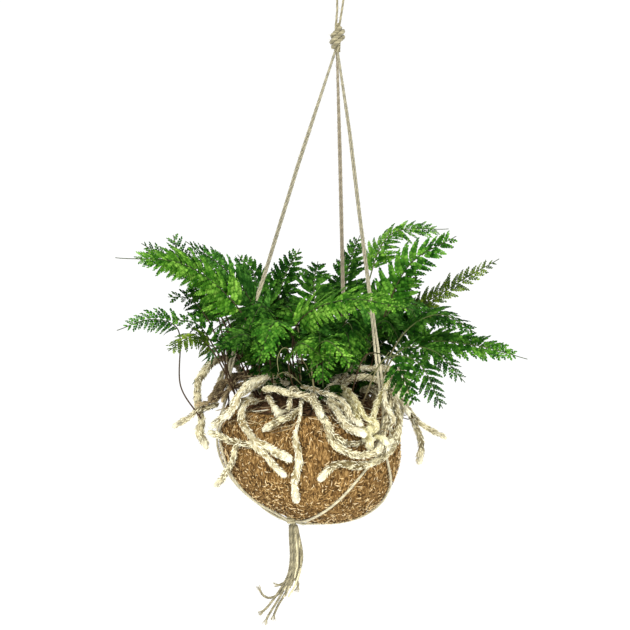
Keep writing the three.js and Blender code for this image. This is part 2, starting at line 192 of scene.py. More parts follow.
def framesAlong(route):
    forward = unit(np.gradient(route, axis=0))
    start = np.cross(forward[0], (0, 1, 0) if abs(forward[0][1]) < 0.9 else (1, 0, 0))
    sides = [start / np.linalg.norm(start)]
    for direction in forward[1:]:
        side = sides[-1] - direction * sides[-1].dot(direction)
        sides.append(side / np.linalg.norm(side))
    sides = np.array(sides)
    return forward, sides, np.cross(forward, sides)


# Tubes have these numbers of sides
hairSides = 4
strandSides = 6


# Round tubes along routes, closed at both ends. Each vertex knows how far along it is,
# and a number from 0 to 1 that is its tube's own.
def tubeMesh(name, routes, widths, sides, chance):
    curve = bpy.data.curves.new(name, "CURVE")
    curve.dimensions = "3D"
    curve.bevel_depth = 1
    curve.bevel_resolution = (sides - 4) // 2
    for route, width in zip(routes, widths):
        spline = curve.splines.new("POLY")
        spline.points.add(len(route) - 1)
        places = np.ones((len(route), 4))
        places[:, :3] = route
        spline.points.foreach_set("co", places.ravel())
        spline.points.foreach_set("radius", np.broadcast_to(width, len(route)))
    drawn = bpy.data.objects.new(name, curve)
    bpy.context.scene.collection.objects.link(drawn)
    bpy.context.view_layer.update()
    mesh = bpy.data.meshes.new_from_object(drawn.evaluated_get(bpy.context.evaluated_depsgraph_get()))
    bpy.data.objects.remove(drawn)
    bpy.data.curves.remove(curve)
    along = np.concatenate([np.repeat(np.linspace(0, 1, len(route)), sides) for route in routes])
    own = np.concatenate([np.full(len(route) * sides, chance.random()) for route in routes])
    for label, values in (("along", along), ("own", own)):
        mesh.attributes.new(label, "FLOAT", "POINT").data.foreach_set("value", values.astype(np.float32))
    work = bmesh.new()
    work.from_mesh(mesh)
    bmesh.ops.holes_fill(work, edges=[edge for edge in work.edges if edge.is_boundary], sides=0)
    bmesh.ops.recalc_face_normals(work, faces=work.faces)
    work.to_mesh(mesh)
    work.free()
    mesh.polygons.foreach_set("use_smooth", [True] * len(mesh.polygons))
    return mesh


# Materials are node trees on one Principled shader

def newMaterial(name, roughness, specular):
    material = bpy.data.materials.new(name)
    material.use_nodes = True
    tree = material.node_tree
    shader = tree.nodes["Principled BSDF"]
    shader.inputs["Roughness"].default_value = roughness
    shader.inputs["Specular IOR Level"].default_value = specular
    return material, tree, shader


def objectPlace(tree, stretch=(1, 1, 1), turn=(0, 0, 0)):
    coordinates = tree.nodes.new("ShaderNodeTexCoord")
    mapping = tree.nodes.new("ShaderNodeMapping")
    mapping.inputs["Scale"].default_value = stretch
    mapping.inputs["Rotation"].default_value = turn
    tree.links.new(coordinates.outputs["Object"], mapping.inputs["Vector"])
    return mapping.outputs["Vector"]


def noisePattern(tree, place, scale, detail=2, roughness=0.5):
    pattern = tree.nodes.new("ShaderNodeTexNoise")
    pattern.inputs["Scale"].default_value = scale
    pattern.inputs["Detail"].default_value = detail
    pattern.inputs["Roughness"].default_value = roughness
    tree.links.new(place, pattern.inputs["Vector"])
    return pattern.outputs["Fac"]


def attributeValue(tree, label):
    attribute = tree.nodes.new("ShaderNodeAttribute")
    attribute.attribute_name = label
    return attribute.outputs["Fac"]


def colourRamp(tree, value, stops):
    ramp = tree.nodes.new("ShaderNodeValToRGB")
    elements = ramp.color_ramp.elements
    while len(elements) < len(stops):
        elements.new(0.5)
    for element, (position, colour) in zip(elements, stops):
        element.position = position
        element.color = (*colour, 1)
    tree.links.new(value, ramp.inputs["Fac"])
    return ramp.outputs["Color"]


def mixColours(tree, share, first, second):
    node = tree.nodes.new("ShaderNodeMix")
    node.data_type = "RGBA"
    for label, value in (("Factor", share), ("A", first), ("B", second)):
        socket = node.inputs[label]
        if isinstance(value, (int, float)):
            socket.default_value = value
        elif isinstance(value, tuple):
            socket.default_value = (*value, 1)
        else:
            tree.links.new(value, socket)
    return node.outputs["Result"]


def mathNode(tree, operation, first, second):
    node = tree.nodes.new("ShaderNodeMath")
    node.operation = operation
    for socket, value in zip(node.inputs, (first, second)):
        if isinstance(value, (int, float)):
            socket.default_value = value
        else:
            tree.links.new(value, socket)
    return node.outputs["Value"]


def bumpFrom(tree, shader, height, strength, distance):
    bump = tree.nodes.new("ShaderNodeBump")
    bump.inputs["Strength"].default_value = strength
    bump.inputs["Distance"].default_value = distance
    tree.links.new(height, bump.inputs["Height"])
    tree.links.new(bump.outputs["Normal"], shader.inputs["Normal"])


def twineMaterial(name, shadow, straw, pale):
    material, tree, shader = newMaterial(name, 0.8, 0.2)
    place = objectPlace(tree)
    blotches = noisePattern(tree, place, 160, 3)
    strands = noisePattern(tree, place, 1400, 3, 0.7)
    base = colourRamp(tree, strands, [(0.3, shadow), (0.5, straw), (0.7, pale)])
    colour = mixColours(tree, blotches, base, pale)
    # own darkens towards the shadow colour: on plies this is painted shade in the grooves and where the
    # cord hangs, and they are left paler on the ball as painted light; on loose strands and hairs it is
    # their own tone
    darker = mixColours(tree, attributeValue(tree, "own"), shadow, colour)
    colour = mixColours(tree, 0.75, colour, darker)
    tree.links.new(colour, shader.inputs["Base Color"])
    bumpFrom(tree, shader, strands, 0.5, 0.0003)
    shader.inputs["Sheen Weight"].default_value = 0.25
    return material


# The jute cords

twine = {
    "across": 0.0028,
    "plies": 3,
    "plyShare": 0.255,      # a ply's radius, as a share of the cord's width
    "turn": 0.0088,         # length of one twist
    "step": 0.0015,
    "hangingShare": 0.82,   # a leg's cord is drawn out thinner where it hangs free
    "nearBall": (0.07, 0.13),           # distances from the ball between which that changes
    "shades": [0.0, 0.16, 0.32],        # how pale each ply is where the cord hangs: darker there as painted shade, and one ply darkest as painted shade in the grooves
    "onBall": [0.6, 0.95, 1],           # and where it lies on the ball, paler as painted light against the shade there
    "hairs": 520,           # stray hairs on a metre
    "hairLength": (0.001, 0.0028),
    "hairRadius": 0.00008,
    "hairLean": 1.5,
    "hairFrom": 0.3,        # share of the cord's width at which a hair starts
    "hairBend": 0.55,       # and at which it bends outward
    "hairShape": (0.3, 0.6),            # how far it leans up to the bend, and goes on, as shares
}
# Colours of the hollows as painted shade, the fibres and the pale fibres; jute in shade is a darker copy,
# painted shade for the leg at the back
juteColours = {
    "jute": ((0.03, 0.023, 0.007), (0.34, 0.29, 0.145), (0.77, 0.7, 0.45)),
    "grey jute": ((0.04, 0.038, 0.027), (0.33, 0.305, 0.195), (0.77, 0.7, 0.47)),
    "jute in shade": ((0.08, 0.065, 0.035), (0.34, 0.29, 0.2), (0.58, 0.51, 0.37)),
}


def twistedCord(name, routes, across, chance, onBall=False):
    plies = []
    plyWidths = []
    shades = []
    hairs = []
    toBend, beyond = twine["hairShape"]
    for route in routes:
        route = respaced(route, twine["step"])
        forward, side, other = framesAlong(route)
        lengths = distances(route)
        # lying is 1 where the cord lies on the ball: there its plies are fuller and painted paler
        lying = np.interp(overBall(route), twine["nearBall"], (1, 0)) * onBall
        thick = across * (1 - (1 - twine["hangingShare"]) * (1 - lying) * onBall)
        offset = (thick * (0.5 - twine["plyShare"]))[:, None]
        start = chance.random()
        for ply in range(twine["plies"]):
            angle = 2 * np.pi * (lengths / twine["turn"] + ply / twine["plies"] + start)[:, None]
            plies.append(route + offset * (np.cos(angle) * side + np.sin(angle) * other))
            plyWidths.append(thick * twine["plyShare"])
            shade = twine["shades"][ply] + (twine["onBall"][ply] - twine["shades"][ply]) * lying
            shades.append(np.repeat(shade, strandSides))
        for _ in range(int(lengths[-1] * twine["hairs"])):
            i = chance.randrange(len(route))
            angle = chance.uniform(0, 2 * math.pi)
            out = math.cos(angle) * side[i] + math.sin(angle) * other[i]
            lean = chance.uniform(-twine["hairLean"], twine["hairLean"]) * forward[i]
            length = chance.uniform(*twine["hairLength"])
            root = route[i] + out * thick[i] * twine["hairFrom"]
            middle = route[i] + out * thick[i] * twine["hairBend"] + toBend * length * lean
            hairs.append([root, middle, middle + beyond * length * (out + lean)])
    meshes = [tubeMesh(name, plies, plyWidths, strandSides, chance)]
    setValues(meshes[0], "own", np.concatenate(shades))
    if hairs:
        meshes.append(tubeMesh(name, hairs, [twine["hairRadius"]] * len(hairs), hairSides, chance))
    return joined(name, meshes)


# Routes over the ball

def overBall(places):
    n = ball["squareness"]
    along = np.abs(places @ ballAxis)
    across = np.sqrt(np.maximum((places**2).sum(1) - along**2, 0))
    u = across / ball["radius"]
    v = along / ball["half"]
    size = (u**n + v**n) ** (1 / n)
    slope = np.hypot(u ** (n - 1) / ball["radius"], v ** (n - 1) / ball["half"]) * size ** (1 - n)
    overTop = np.minimum(places[:, 2] - ball["opening"],
                         np.linalg.norm(places - crownCentre, axis=1) - ball["crownRadius"])
    return np.maximum((size - 1) / slope, overTop)


def outward(places):
    reach = 0.0005
    slopes = [overBall(places + step) - overBall(places - step) for step in np.eye(3) * reach]
    return unit(np.stack(slopes, axis=1))


def crownHeight(x, y):
    return crownCentre[2] + math.sqrt(ball["crownRadius"] ** 2 - x * x - y * y)


# Moves a route's places out until a round section there clears the ball and the routes below it
def lifted(places, radius, below):
    short = np.maximum(radius + ball["air"] - overBall(places), 0)
    places = places + outward(places) * short[:, None]
    out = outward(places)
    rise = np.zeros(len(places))
    for route, otherRadius in below:
        reach = radius + otherRadius + ball["air"]
        apart = places[:, None] - route[None]
        square = (apart**2).sum(2)
        along = (apart * out[:, None]).sum(2)
        need = np.sqrt(np.maximum(along**2 - square + reach**2, 0)) - along
        rise = np.maximum(rise, np.where(square < reach**2, need, 0).max(1))
    return places + out * rise[:, None]


laying = {"spacing": 0.003, "rounds": 5}


def laid(points, radius, below):
    route = evenRoute(points, laying["spacing"])
    for _ in range(laying["rounds"]):
        route = lifted(route, radius, below)
        route[1:-1] = (2 * route[1:-1] + route[:-2] + route[2:]) / 4
    return lifted(route, radius, below)


legs = {
    "left": {
        "upper": [(23, -1, 394), (-12, -1, 279), (-47, -2, 165), (-75, -6, 84)],
        "side": (0.95, -0.2, -0.3),
        "lower": [
            [(-85, -13, 45), (-89, -21, 16), (-84, -31, -3), (-78, -34, -19), (-68, -32, -36),
             (-56, -30, -51), (-39, -34, -61), (-22, -26, -73)],
            [(-84, -7, 45), (-93, -6, 20), (-94, -4, -4), (-86, -2, -28), (-69, -6, -52),
             (-46, -12, -67), (-24, -18, -75)],
        ],
    },
    "back": {
        "upper": [(27, 3.6, 394), (30, 24, 290), (33, 45, 178), (36, 68, 68)],
        "side": (1, 0, 0),
        "lower": [
            [(37, 82, 38), (38, 88, 8), (33, 84, -26), (20, 64, -56), (4, 34, -76), (-10, -6, -78)],
            [(33, 83, 38), (29, 91, 8), (20, 86, -30), (4, 62, -58), (-8, 30, -73), (-16, -8, -76)],
        ],
    },
    "right": {
        "upper": [(31, -2, 394), (39, -13, 312), (48, -27, 236), (59, -43, 150), (69, -56, 66)],
        "side": (1, 0.4, 0.2),
        "lower": [
            [(71, -61, 44), (74, -66, 20), (67, -69, 0), (54, -75, -12), (40, -77, -27),
             (25, -74, -42), (6, -60, -57), (-12, -30, -72)],
            [(76, -60, 44), (79, -61, 20), (80, -62, -2), (82, -52, -20), (78, -30, -42),
             (52, -10, -66), (20, -8, -79), (-8, -16, -79)],
        ],
    },
}
legSpread = 0.00145     # half the spacing of the two cords of a leg
gather = {
    "hangsFrom": (0.1, 0.15),       # heights between which a leg leaves the ball's side and hangs free
    "topFrom": (0.3, 0.375),        # and between which its two cords close up to the knot
    "spread": (0.65, 0.2),          # of the spacing, where it hangs and at the top
    "inKnot": (0.0265, 0, 0.396),
    "inBottomKnot": (-0.0165, -0.0205, -0.0755),
    "snug": [(-0.073, 0), (-0.063, 1), (0.02, 1), (0.04, 0)],      # how snug it lies, by height
    "overFibres": 0.0016,
}


# A leg's cord as it is seen: its strands gather at the top, and lie snug on the ball below
def drawnIn(route, leg, shift, radius):
    height = route[:, 2]
    plan = np.array([gather["inKnot"]] + metres(leg["upper"][1:]))[::-1]
    middle = readAt(height, plan[:, 2], plan)
    middle[:, 2] = height       # also past the plan's ends
    hanging = np.interp(height, gather["hangsFrom"], (0, 1))[:, None]
    spread = np.interp(height, gather["topFrom"], gather["spread"])[:, None]
    route = route * (1 - hanging) + (middle + shift * spread) * hanging
    share = np.interp(height, *zip(*gather["snug"]))
    slack = np.maximum(overBall(route) - radius - gather["overFibres"], 0)
    route = route - outward(route) * (share * slack)[:, None]
    route[1:-1] = (2 * route[1:-1] + route[:-2] + route[2:]) / 4
    top = np.array(gather["inKnot"]) + shift * gather["spread"][1]
    return np.vstack([top, route, gather["inBottomKnot"]])


def makeLegs(material, darkMaterial):
    routes = []
    for sideName, leg in legs.items():
        for strand, lower in enumerate(leg["lower"]):
            shift = unit(np.array(leg["side"])) * legSpread * (1 if strand else -1)
            upper = [np.array(place) + shift for place in metres(leg["upper"])]
            route = laid(upper + metres(lower), twine["across"] / 2 + ball["air"], routes)
            routes.append((route, twine["across"] / 2))
            name = f"leg_{sideName}_{strand + 1}"
            seen = drawnIn(route, leg, shift, twine["across"] / 2)
            mesh = twistedCord("twine_" + name, [seen], twine["across"], random.Random(name), onBall=True)
            look = darkMaterial if sideName == "back" else material
            showAtBall("twine_" + name, mesh, [look], name)
    return routes


# The tassel: six cord ends that share a bundle, each in a lane of its own, then part

bundle = [(-17, -20, -79.4), (-16.8, -20, -94), (-16, -20, -110), (-17, -20, -122),
          (-19, -20, -131)]
tails = {
    "tail_long": {"lane": (-1.6, -2.8), "end": [
        (-28, -22, -148), (-37, -19, -164), (-43, -16, -175), (-46, -14, -183)]},
    "tail_second": {"lane": (1.6, -2.8), "end": [
        (-24.4, -21.4, -148), (-32, -17, -162), (-36, -13, -172), (-38, -10, -180)]},
    "tail_thin": {"lane": (-3.2, 0), "end": [
        (-29.6, -18.6, -145), (-38, -20, -157), (-45, -22, -165), (-52, -23, -170)]},
    "tail_curled": {"lane": (-1.6, 2.8), "end": [
        (-27, -14.8, -145), (-34, -14.5, -153), (-42, -16, -155), (-48, -18, -151),
        (-52, -21, -141)]},
    "tail_short": {"lane": (1.6, 2.8), "end": [
        (-21, -13, -137), (-27, -11, -141), (-32, -12, -143), (-37, -13, -142)]},
    "tail_loose": {"lane": (3.2, 0), "bow": 5, "end": [
        (-12, -20, -140), (-13, -20, -148)]},
}
tailPoints = 28     # of each route
fray = {"strands": 34, "length": 0.006, "step": 0.001, "from": 0.3, "spread": (0.0004, 0.0026),
        "curve": 1.5, "radius": 0.00013}


# The untwisted end of a cord, over the last stretch of its route
def frayedEnd(name, route, chance):
    side, other = framesAlong(route)[1:]
    strands = []
    for _ in range(fray["strands"]):
        angle = chance.uniform(0, 2 * math.pi)
        out = math.cos(angle) * side[0] + math.sin(angle) * other[0]
        spread = chance.uniform(*fray["spread"])
        reach = chance.randint(len(route) - 2, len(route))
        share = np.linspace(0, 1, reach)[:, None]
        away = fray["from"] * twine["across"] + spread * share ** fray["curve"]
        strands.append(route[:reach] + out * away)
    return tubeMesh(name, strands, [fray["radius"]] * len(strands), hairSides, chance)


def makeTails(material):
    for name, tail in tails.items():
        shared = []
        for i, (x, y, z) in enumerate(bundle):
            bow = tail.get("bow", 0) * math.sin(math.pi * i / (len(bundle) - 0.5))
            shared.append((x + tail["lane"][0] + bow, y + tail["lane"][1], z))
        route = alongSpline(metres(shared + tail["end"]), np.linspace(0, 1, tailPoints))
        fine = respaced(route, fray["step"])
        cut = round(fray["length"] / fray["step"])
        chance = random.Random(name)
        twisted = twistedCord("twine_" + name, [fine[:-cut]], twine["across"], chance)
        mesh = joined("twine_" + name, [twisted, frayedEnd(name, fine[-cut - 2:], chance)])
        piece = showAtBall("twine_" + name, mesh, [material], name)


# Loose strands of the tassel, thinner than its cords
wisps = {
    "count": 36,
    "radius": (0.0005, 0.001),
    "length": (0.034, 0.082),
    "step": 0.002,
    "along": ["tail_long", "tail_second", "tail_second", "tail_loose"],
    "within": 0.005,        # how far they stray from the bundle's middle
    "bulge": 0.003,
    "narrowing": (0.15, 1),     # the bundle is narrow at the knot, wide below and closed at its end
    "wave": 0.0013,
    "waves": 90,
    "waveShift": 7,         # so that no two strands wave alike
    "fewest": 4,            # points of a strand
    "contrast": 2.2,        # between pale and dark strands
}


def makeWisps(material):
    chance = random.Random("wisps")
    routes = []
    for i in range(wisps["count"]):
        angle = chance.uniform(0, 2 * math.pi)
        reach = wisps["within"] * math.sqrt(chance.random())
        shift = np.array((math.cos(angle) * reach + wisps["bulge"], math.sin(angle) * reach, 0))
        points = metres(bundle + tails[wisps["along"][i % len(wisps["along"])]]["end"])
        shares = np.sin(np.linspace(*wisps["narrowing"], len(points)) * math.pi)
        whole = evenRoute(np.array(points) + shift * shares[:, None], wisps["step"])
        route = whole[:max(wisps["fewest"], round(chance.uniform(*wisps["length"]) / wisps["step"]))]
        start = Vector((wisps["waveShift"] * angle, 0, 0))
        wave = [strayAt(Vector(place) * wisps["waves"] + start) * wisps["wave"] for place in route]
        routes.append(route + wave)
    widths = [chance.uniform(*wisps["radius"]) for _ in routes]
    mesh = tubeMesh("twine_wisps", routes, widths, strandSides, chance)
    own = np.empty(len(mesh.vertices), np.float32)
    mesh.attributes["own"].data.foreach_get("value", own)
    setValues(mesh, "own", np.clip(0.5 + (own - 0.5) * wisps["contrast"], 0, 1))
    showAtBall("twine_wisps", mesh, [material], None)


# The loop over the top knot: two thinner cords side by side

loop = {"across": 0.0023, "apart": 0.0011, "step": 0.002}
loopPoints = [(-4.6, 0, -64.5), (-3.2, 0.5, -48), (-3.6, 0.5, -36), (-7.2, 0, -20), (-7, 0, -7),
              (0, 0, 1.9), (7, 0, -7), (7.2, 0, -20), (3.4, -0.5, -36), (1.6, -0.5, -48),
              (-1.2, 0, -64.5)]


def makeLoop(material):
    middle = evenRoute(metres(loopPoints), loop["step"])
    other = framesAlong(middle)[2]
    routes = [middle + loop["apart"] * sign * other for sign in (-1, 1)]
    mesh = twistedCord("twine_loop", routes, loop["across"], random.Random("loop"))
    standFor(showMesh("twine_loop", mesh, [material]), "hanging_loop")


# Knots are wound from the same cord, over the cords that run through them

topKnot = {
    "middle": (-0.003, 0, -0.0755),
    "rises": [0, 0.0056, 0.0112, 0.0168],   # height after each turn
    "radius": [0.0034, 0.0058, 0.0056, 0.0038],
    "slant": 0.7,           # bands climb to the right
    "across": 0.005,
    "core": 5,
    "beyond": 0.0055,       # how far the cords inside show past the turns
}
bottomKnot = {
    "middle": (-0.047, -0.02, -0.5515),
    "rises": [0, 0.0028, 0.0055, 0.0083, 0.011],
    "radius": [0.0046, 0.0054, 0.0054, 0.0054, 0.0044],
    "slant": 0.1,
    "across": 0.003,
    "core": 6,
    "beyond": 0.0035,
    # the knot takes the paler plies of a cord on the ball: painted light under the ball's shadow
    "pale": True,
}
winding = {
    "step": 0.001,
    "points": 26,           # on each turn
    "start": 0.6,
    "tuckedTo": 0.3,        # share of the radius at both ends, which pass in under the turns
    "tuck": 2.4,
    "core": 0.0019,         # how far from the middle the cords inside run
    "coreBow": (0.9, 1.1),  # at their ends and between, as shares of that
}


def makeKnot(name, node, knot, material):
    chance = random.Random(name)
    turns = len(knot["rises"]) - 1
    turn = np.linspace(0, turns, winding["points"] * turns)
    angle = 2 * np.pi * turn + winding["start"]
    counts = np.arange(turns + 1)
    toEnd = np.minimum(turn, turns - turn)
    tuckedIn = np.clip(winding["tuckedTo"] + toEnd * winding["tuck"], winding["tuckedTo"], 1)
    radius = np.interp(turn, counts, knot["radius"]) * tuckedIn
    x = radius * np.cos(angle)
    height = np.interp(turn, counts, knot["rises"]) - knot["rises"][-1] / 2
    wound = np.stack([x, radius * np.sin(angle), height + knot["slant"] * x], axis=1)
    half = knot["rises"][-1] / 2 + knot["beyond"]
    core = []
    atEnd, between = winding["coreBow"]
    for strand in range(knot["core"]):
        around = 2 * math.pi * strand / knot["core"]
        foot = np.array((math.cos(around), math.sin(around), 0)) * winding["core"]
        core.append(np.array([foot * atEnd + (0, 0, -half), foot * between, foot * atEnd + (0, 0, half)]))
    wound = respaced(wound, winding["step"])
    turned = twistedCord(name, [wound], knot["across"], chance, knot.get("pale", False))
    mesh = joined(name, [turned, twistedCord(name, core, twine["across"], chance)])
    mesh.transform(Matrix.Translation(knot["middle"]))
    standFor(showMesh(name, mesh, [material]), node)


# The coir ball: a matted shell with a level mouth, covered in fibres

coir = {
    "lumps": [(70, 0.0011), (420, 0.0007), (900, 0.0007)],      # how many to a metre, and how high
    "fibres": 8200,
    "fibreLength": (0.0028, 0.0075),
    "fibreRadius": (0.00026, 0.0005),
    "fibreTaper": (0.6, 1, 0.4),
    "fibreArch": (0.0003, 0.0013),
    "fibreBend": 3,
    "overRim": 0.001,       # how far they may stand over the shell's edge
    "sunk": 0.0002,         # how far their ends stay off the skin
    "strays": 9,            # long pale fibres that wander over the ball
    "strayLength": (0.02, 0.05),
    "strayStep": 0.004,
    "strayRadius": 0.00028,
    "strayOut": 0.0012,
    "strayTurn": 0.35,
    "strayWander": 0.15,
    "strayPaleness": 0.97,
}


def coirMaterial():
    material, tree, shader = newMaterial("coir", 0.9, 0.05)
    layers = []
    for turn in ((0, 0.4, 0.2), (0.9, 0, 1.2), (0.3, 1.3, 2.4)):
        place = objectPlace(tree, (1, 1, 0.22), turn)
        layers.append(noisePattern(tree, place, 620, 3, 0.65))
    streaks = mathNode(tree, "MAXIMUM", mathNode(tree, "MAXIMUM", layers[0], layers[1]), layers[2])
    # the darkest streaks are painted shade between the matted fibres; the others are the coir's own browns
    strands = colourRamp(tree, streaks, [(0.46, (0.014, 0.006, 0.0015)), (0.58, (0.16, 0.085, 0.026)),
                                         (0.68, (0.5, 0.32, 0.12))])
    patches = noisePattern(tree, objectPlace(tree), 38, 2)
    warm = mixColours(tree, mathNode(tree, "MULTIPLY", patches, 0.25), strands, (0.25, 0.14, 0.045))
    tree.links.new(warm, shader.inputs["Base Color"])
    bumpFrom(tree, shader, streaks, 0.8, 0.0012)
    return material


def fibreMaterial():
    material, tree, shader = newMaterial("coir fibre", 0.8, 0.08)
    own = attributeValue(tree, "own")
    # the darkest fibres, near black, are painted shade among the fibres; the others are the coir's own
    # browns
    colour = colourRamp(tree, own, [(0.0, (0.01, 0.004, 0.001)), (0.38, (0.035, 0.016, 0.004)),
                                    (0.56, (0.44, 0.28, 0.1)), (0.75, (0.8, 0.59, 0.28)),
                                    (1.0, (0.92, 0.76, 0.47))])
    speckle = noisePattern(tree, objectPlace(tree), 900, 2)
    colour = mixColours(tree, mathNode(tree, "MULTIPLY", speckle, 0.2), colour, (0.25, 0.14, 0.05))
    tree.links.new(colour, shader.inputs["Base Color"])
    return material


# The ball's skin in each direction from its middle, grown by some amount
def onSkin(directions, grown=0):
    n = ball["squareness"]
    directions = unit(directions)
    along = np.abs(directions @ ballAxis)
    across = np.sqrt(np.maximum(1 - along**2, 0))
    size = ((across / ball["radius"]) ** n + (along / ball["half"]) ** n) ** (1 / n)
    return directions * (1 / size + grown)[:, None]


def skinShell(subdivisions, grown):
    work = bmesh.new()
    bmesh.ops.create_icosphere(work, subdivisions=subdivisions, radius=1)
    places = onSkin(np.array([vertex.co for vertex in work.verts]), grown)
    for vertex, place in zip(work.verts, places):
        vertex.co = place
    bmesh.ops.bisect_plane(work, geom=work.verts[:] + work.edges[:] + work.faces[:],
                           plane_co=(0, 0, ball["opening"]), plane_no=(0, 0, 1), clear_outer=True)
    return work


def makeSkin(material):
    work = skinShell(6, 0)
    for vertex in work.verts:
        heights = [noise.noise(vertex.co * scale) * height for scale, height in coir["lumps"]]
        vertex.co += vertex.co.normalized() * sum(heights)
    inner = skinShell(4, -ball["wall"])
    bmesh.ops.reverse_faces(inner, faces=inner.faces)
    work.from_mesh(meshFrom(inner, "inner wall"))
    bmesh.ops.bridge_loops(work, edges=[edge for edge in work.edges if edge.is_boundary])
    bmesh.ops.triangulate(work, faces=[face for face in work.faces if len(face.verts) > 3])
    showAtBall("coir_skin", meshFrom(work, "coir_skin"), [material], "coir_ball")


# Short bent fibres that lie on the skin every way
def shortFibres():
    generator = np.random.default_rng(4)
    count = coir["fibres"]
    start = unit(generator.normal(size=(count, 3)))
    way = np.cross(start, unit(generator.normal(size=(count, 3))))
    length = generator.uniform(*coir["fibreLength"], count)
    bend = generator.normal(scale=coir["fibreBend"], size=count)
    arch = generator.uniform(*coir["fibreArch"], count)
    ahead = np.linspace(-0.5, 0.5, 3)
    routes = []
    for i in range(count):
        reach = ahead * length[i] / ball["radius"]
        aside = np.cross(start[i], way[i])
        places = start[i] + reach[:, None] * way[i] + (bend[i] * reach**2)[:, None] * aside
        height = arch[i] * (1 - (2 * ahead) ** 2) + coir["sunk"]
        route = onSkin(places) + start[i] * height[:, None]
        if route[:, 2].max() < ball["opening"] + coir["overRim"]:
            routes.append(route)
    radii = generator.uniform(*coir["fibreRadius"], len(routes))
    widths = [radius * np.array(coir["fibreTaper"]) for radius in radii]
    return tubeMesh("coir_fibres", routes, widths, hairSides, random.Random("fibres"))


def strayFibres():
    chance = random.Random("strays")
    routes = []
    while len(routes) < coir["strays"]:
        place = unit(np.array([chance.gauss(0, 1) for _ in range(3)]))
        way = unit(np.cross(place, [chance.gauss(0, 1) for _ in range(3)]))
        turn = chance.uniform(-coir["strayTurn"], coir["strayTurn"])
        route = []
        for _ in range(int(chance.uniform(*coir["strayLength"]) / coir["strayStep"])):
            route.append(place)
            wander = chance.uniform(-coir["strayWander"], coir["strayWander"])
            way = unit(way + (turn + wander) * np.cross(place, way))
            place = unit(place + way * coir["strayStep"] / ball["radius"])
        route = onSkin(np.array(route), coir["strayOut"])
        if route[:, 2].max() < ball["opening"]:
            routes.append(route)
    mesh = tubeMesh("strays", routes, [coir["strayRadius"]] * len(routes), hairSides, chance)
    setValues(mesh, "own", np.full(len(mesh.vertices), coir["strayPaleness"]))
    return mesh


def makeFibres(material):
    fibres = joined("coir_fibres", [shortFibres(), strayFibres()])
    showAtBall("coir_fibres", fibres, [material], None)


# The potting mix: a crumbly dome that fills the shell

mix = {
    "air": 0.0004,
    "settling": 0.985,      # share kept in each small step down to the crown
    "crumbs": (260, 0.0016),        # how many to a metre, and how high
    "chips": 420,
    "chipSize": (0.0016, 0.0042),
    "chipDepth": (0.4, 1),  # shares of its size
    "chipHeight": (0.2, 0.5),
    "chipTurn": (0, 6.3),
    "chipBevel": 0.18,
    "chipsWithin": 0.075,
    "chipsRound": 0.078,
    "chipsOut": 0.003,      # how far out of the ball a chip may lie
}


def mixMaterial():
    material, tree, shader = newMaterial("potting mix", 0.95, 0.1)
    place = objectPlace(tree)
    crumbs = noisePattern(tree, place, 260, 4, 0.7)
    colour = colourRamp(tree, crumbs, [(0.35, (0.02, 0.011, 0.006)), (0.52, (0.1, 0.05, 0.022)),
                                       (0.7, (0.34, 0.2, 0.1))])
    tree.links.new(colour, shader.inputs["Base Color"])
    bumpFrom(tree, shader, crumbs, 0.9, 0.002)
    return material


def makeMix(material):
    work = bmesh.new()
    bmesh.ops.create_icosphere(work, subdivisions=5, radius=1)
    inside = ball["wall"] + mix["air"]
    places = onSkin(np.array([vertex.co for vertex in work.verts]), -inside)
    over = np.linalg.norm(places - crownCentre, axis=1) > ball["crownRadius"]
    scale, height = mix["crumbs"]
    for vertex, place, above in zip(work.verts, places, over):
        while above and (Vector(place) - Vector(crownCentre)).length > ball["crownRadius"]:
            place = place * mix["settling"]
        rough = noise.noise(Vector(place) * scale) * height if above else 0
        vertex.co = Vector(place) + Vector((0, 0, rough))
    chance = random.Random("chips")
    chip = bmesh.new()
    bmesh.ops.create_cube(chip, size=1)
    bmesh.ops.bevel(chip, geom=chip.edges[:], offset=mix["chipBevel"], segments=1, profile=0.5,
                    affect="EDGES", material=-1)
    chipMesh = meshFrom(chip, "chip")
    for _ in range(mix["chips"]):
        x = chance.uniform(-mix["chipsWithin"], mix["chipsWithin"])
        y = chance.uniform(-mix["chipsWithin"], mix["chipsWithin"])
        z = crownHeight(x, y)
        if overBall(np.array([(x, y, z)]))[0] > mix["chipsOut"] or math.hypot(x, y) > mix["chipsRound"]:
            continue
        size = chance.uniform(*mix["chipSize"])
        angle = chance.uniform(*mix["chipTurn"])
        turn = Matrix.Rotation(angle, 4, Vector([chance.random() for _ in range(3)]))
        depth = size * chance.uniform(*mix["chipDepth"])
        stretch = Matrix.Diagonal((size, depth, size * chance.uniform(*mix["chipHeight"]), 1))
        addCopy(work, chipMesh, Matrix.Translation((x, y, z)) @ turn @ stretch)
    mesh = meshFrom(work, "potting_crumb")
    showAtBall("potting_crumb", mesh, [material], "growing_medium", smooth=False)


# The creeping stems, in the order in which they lie on each other, lowest first

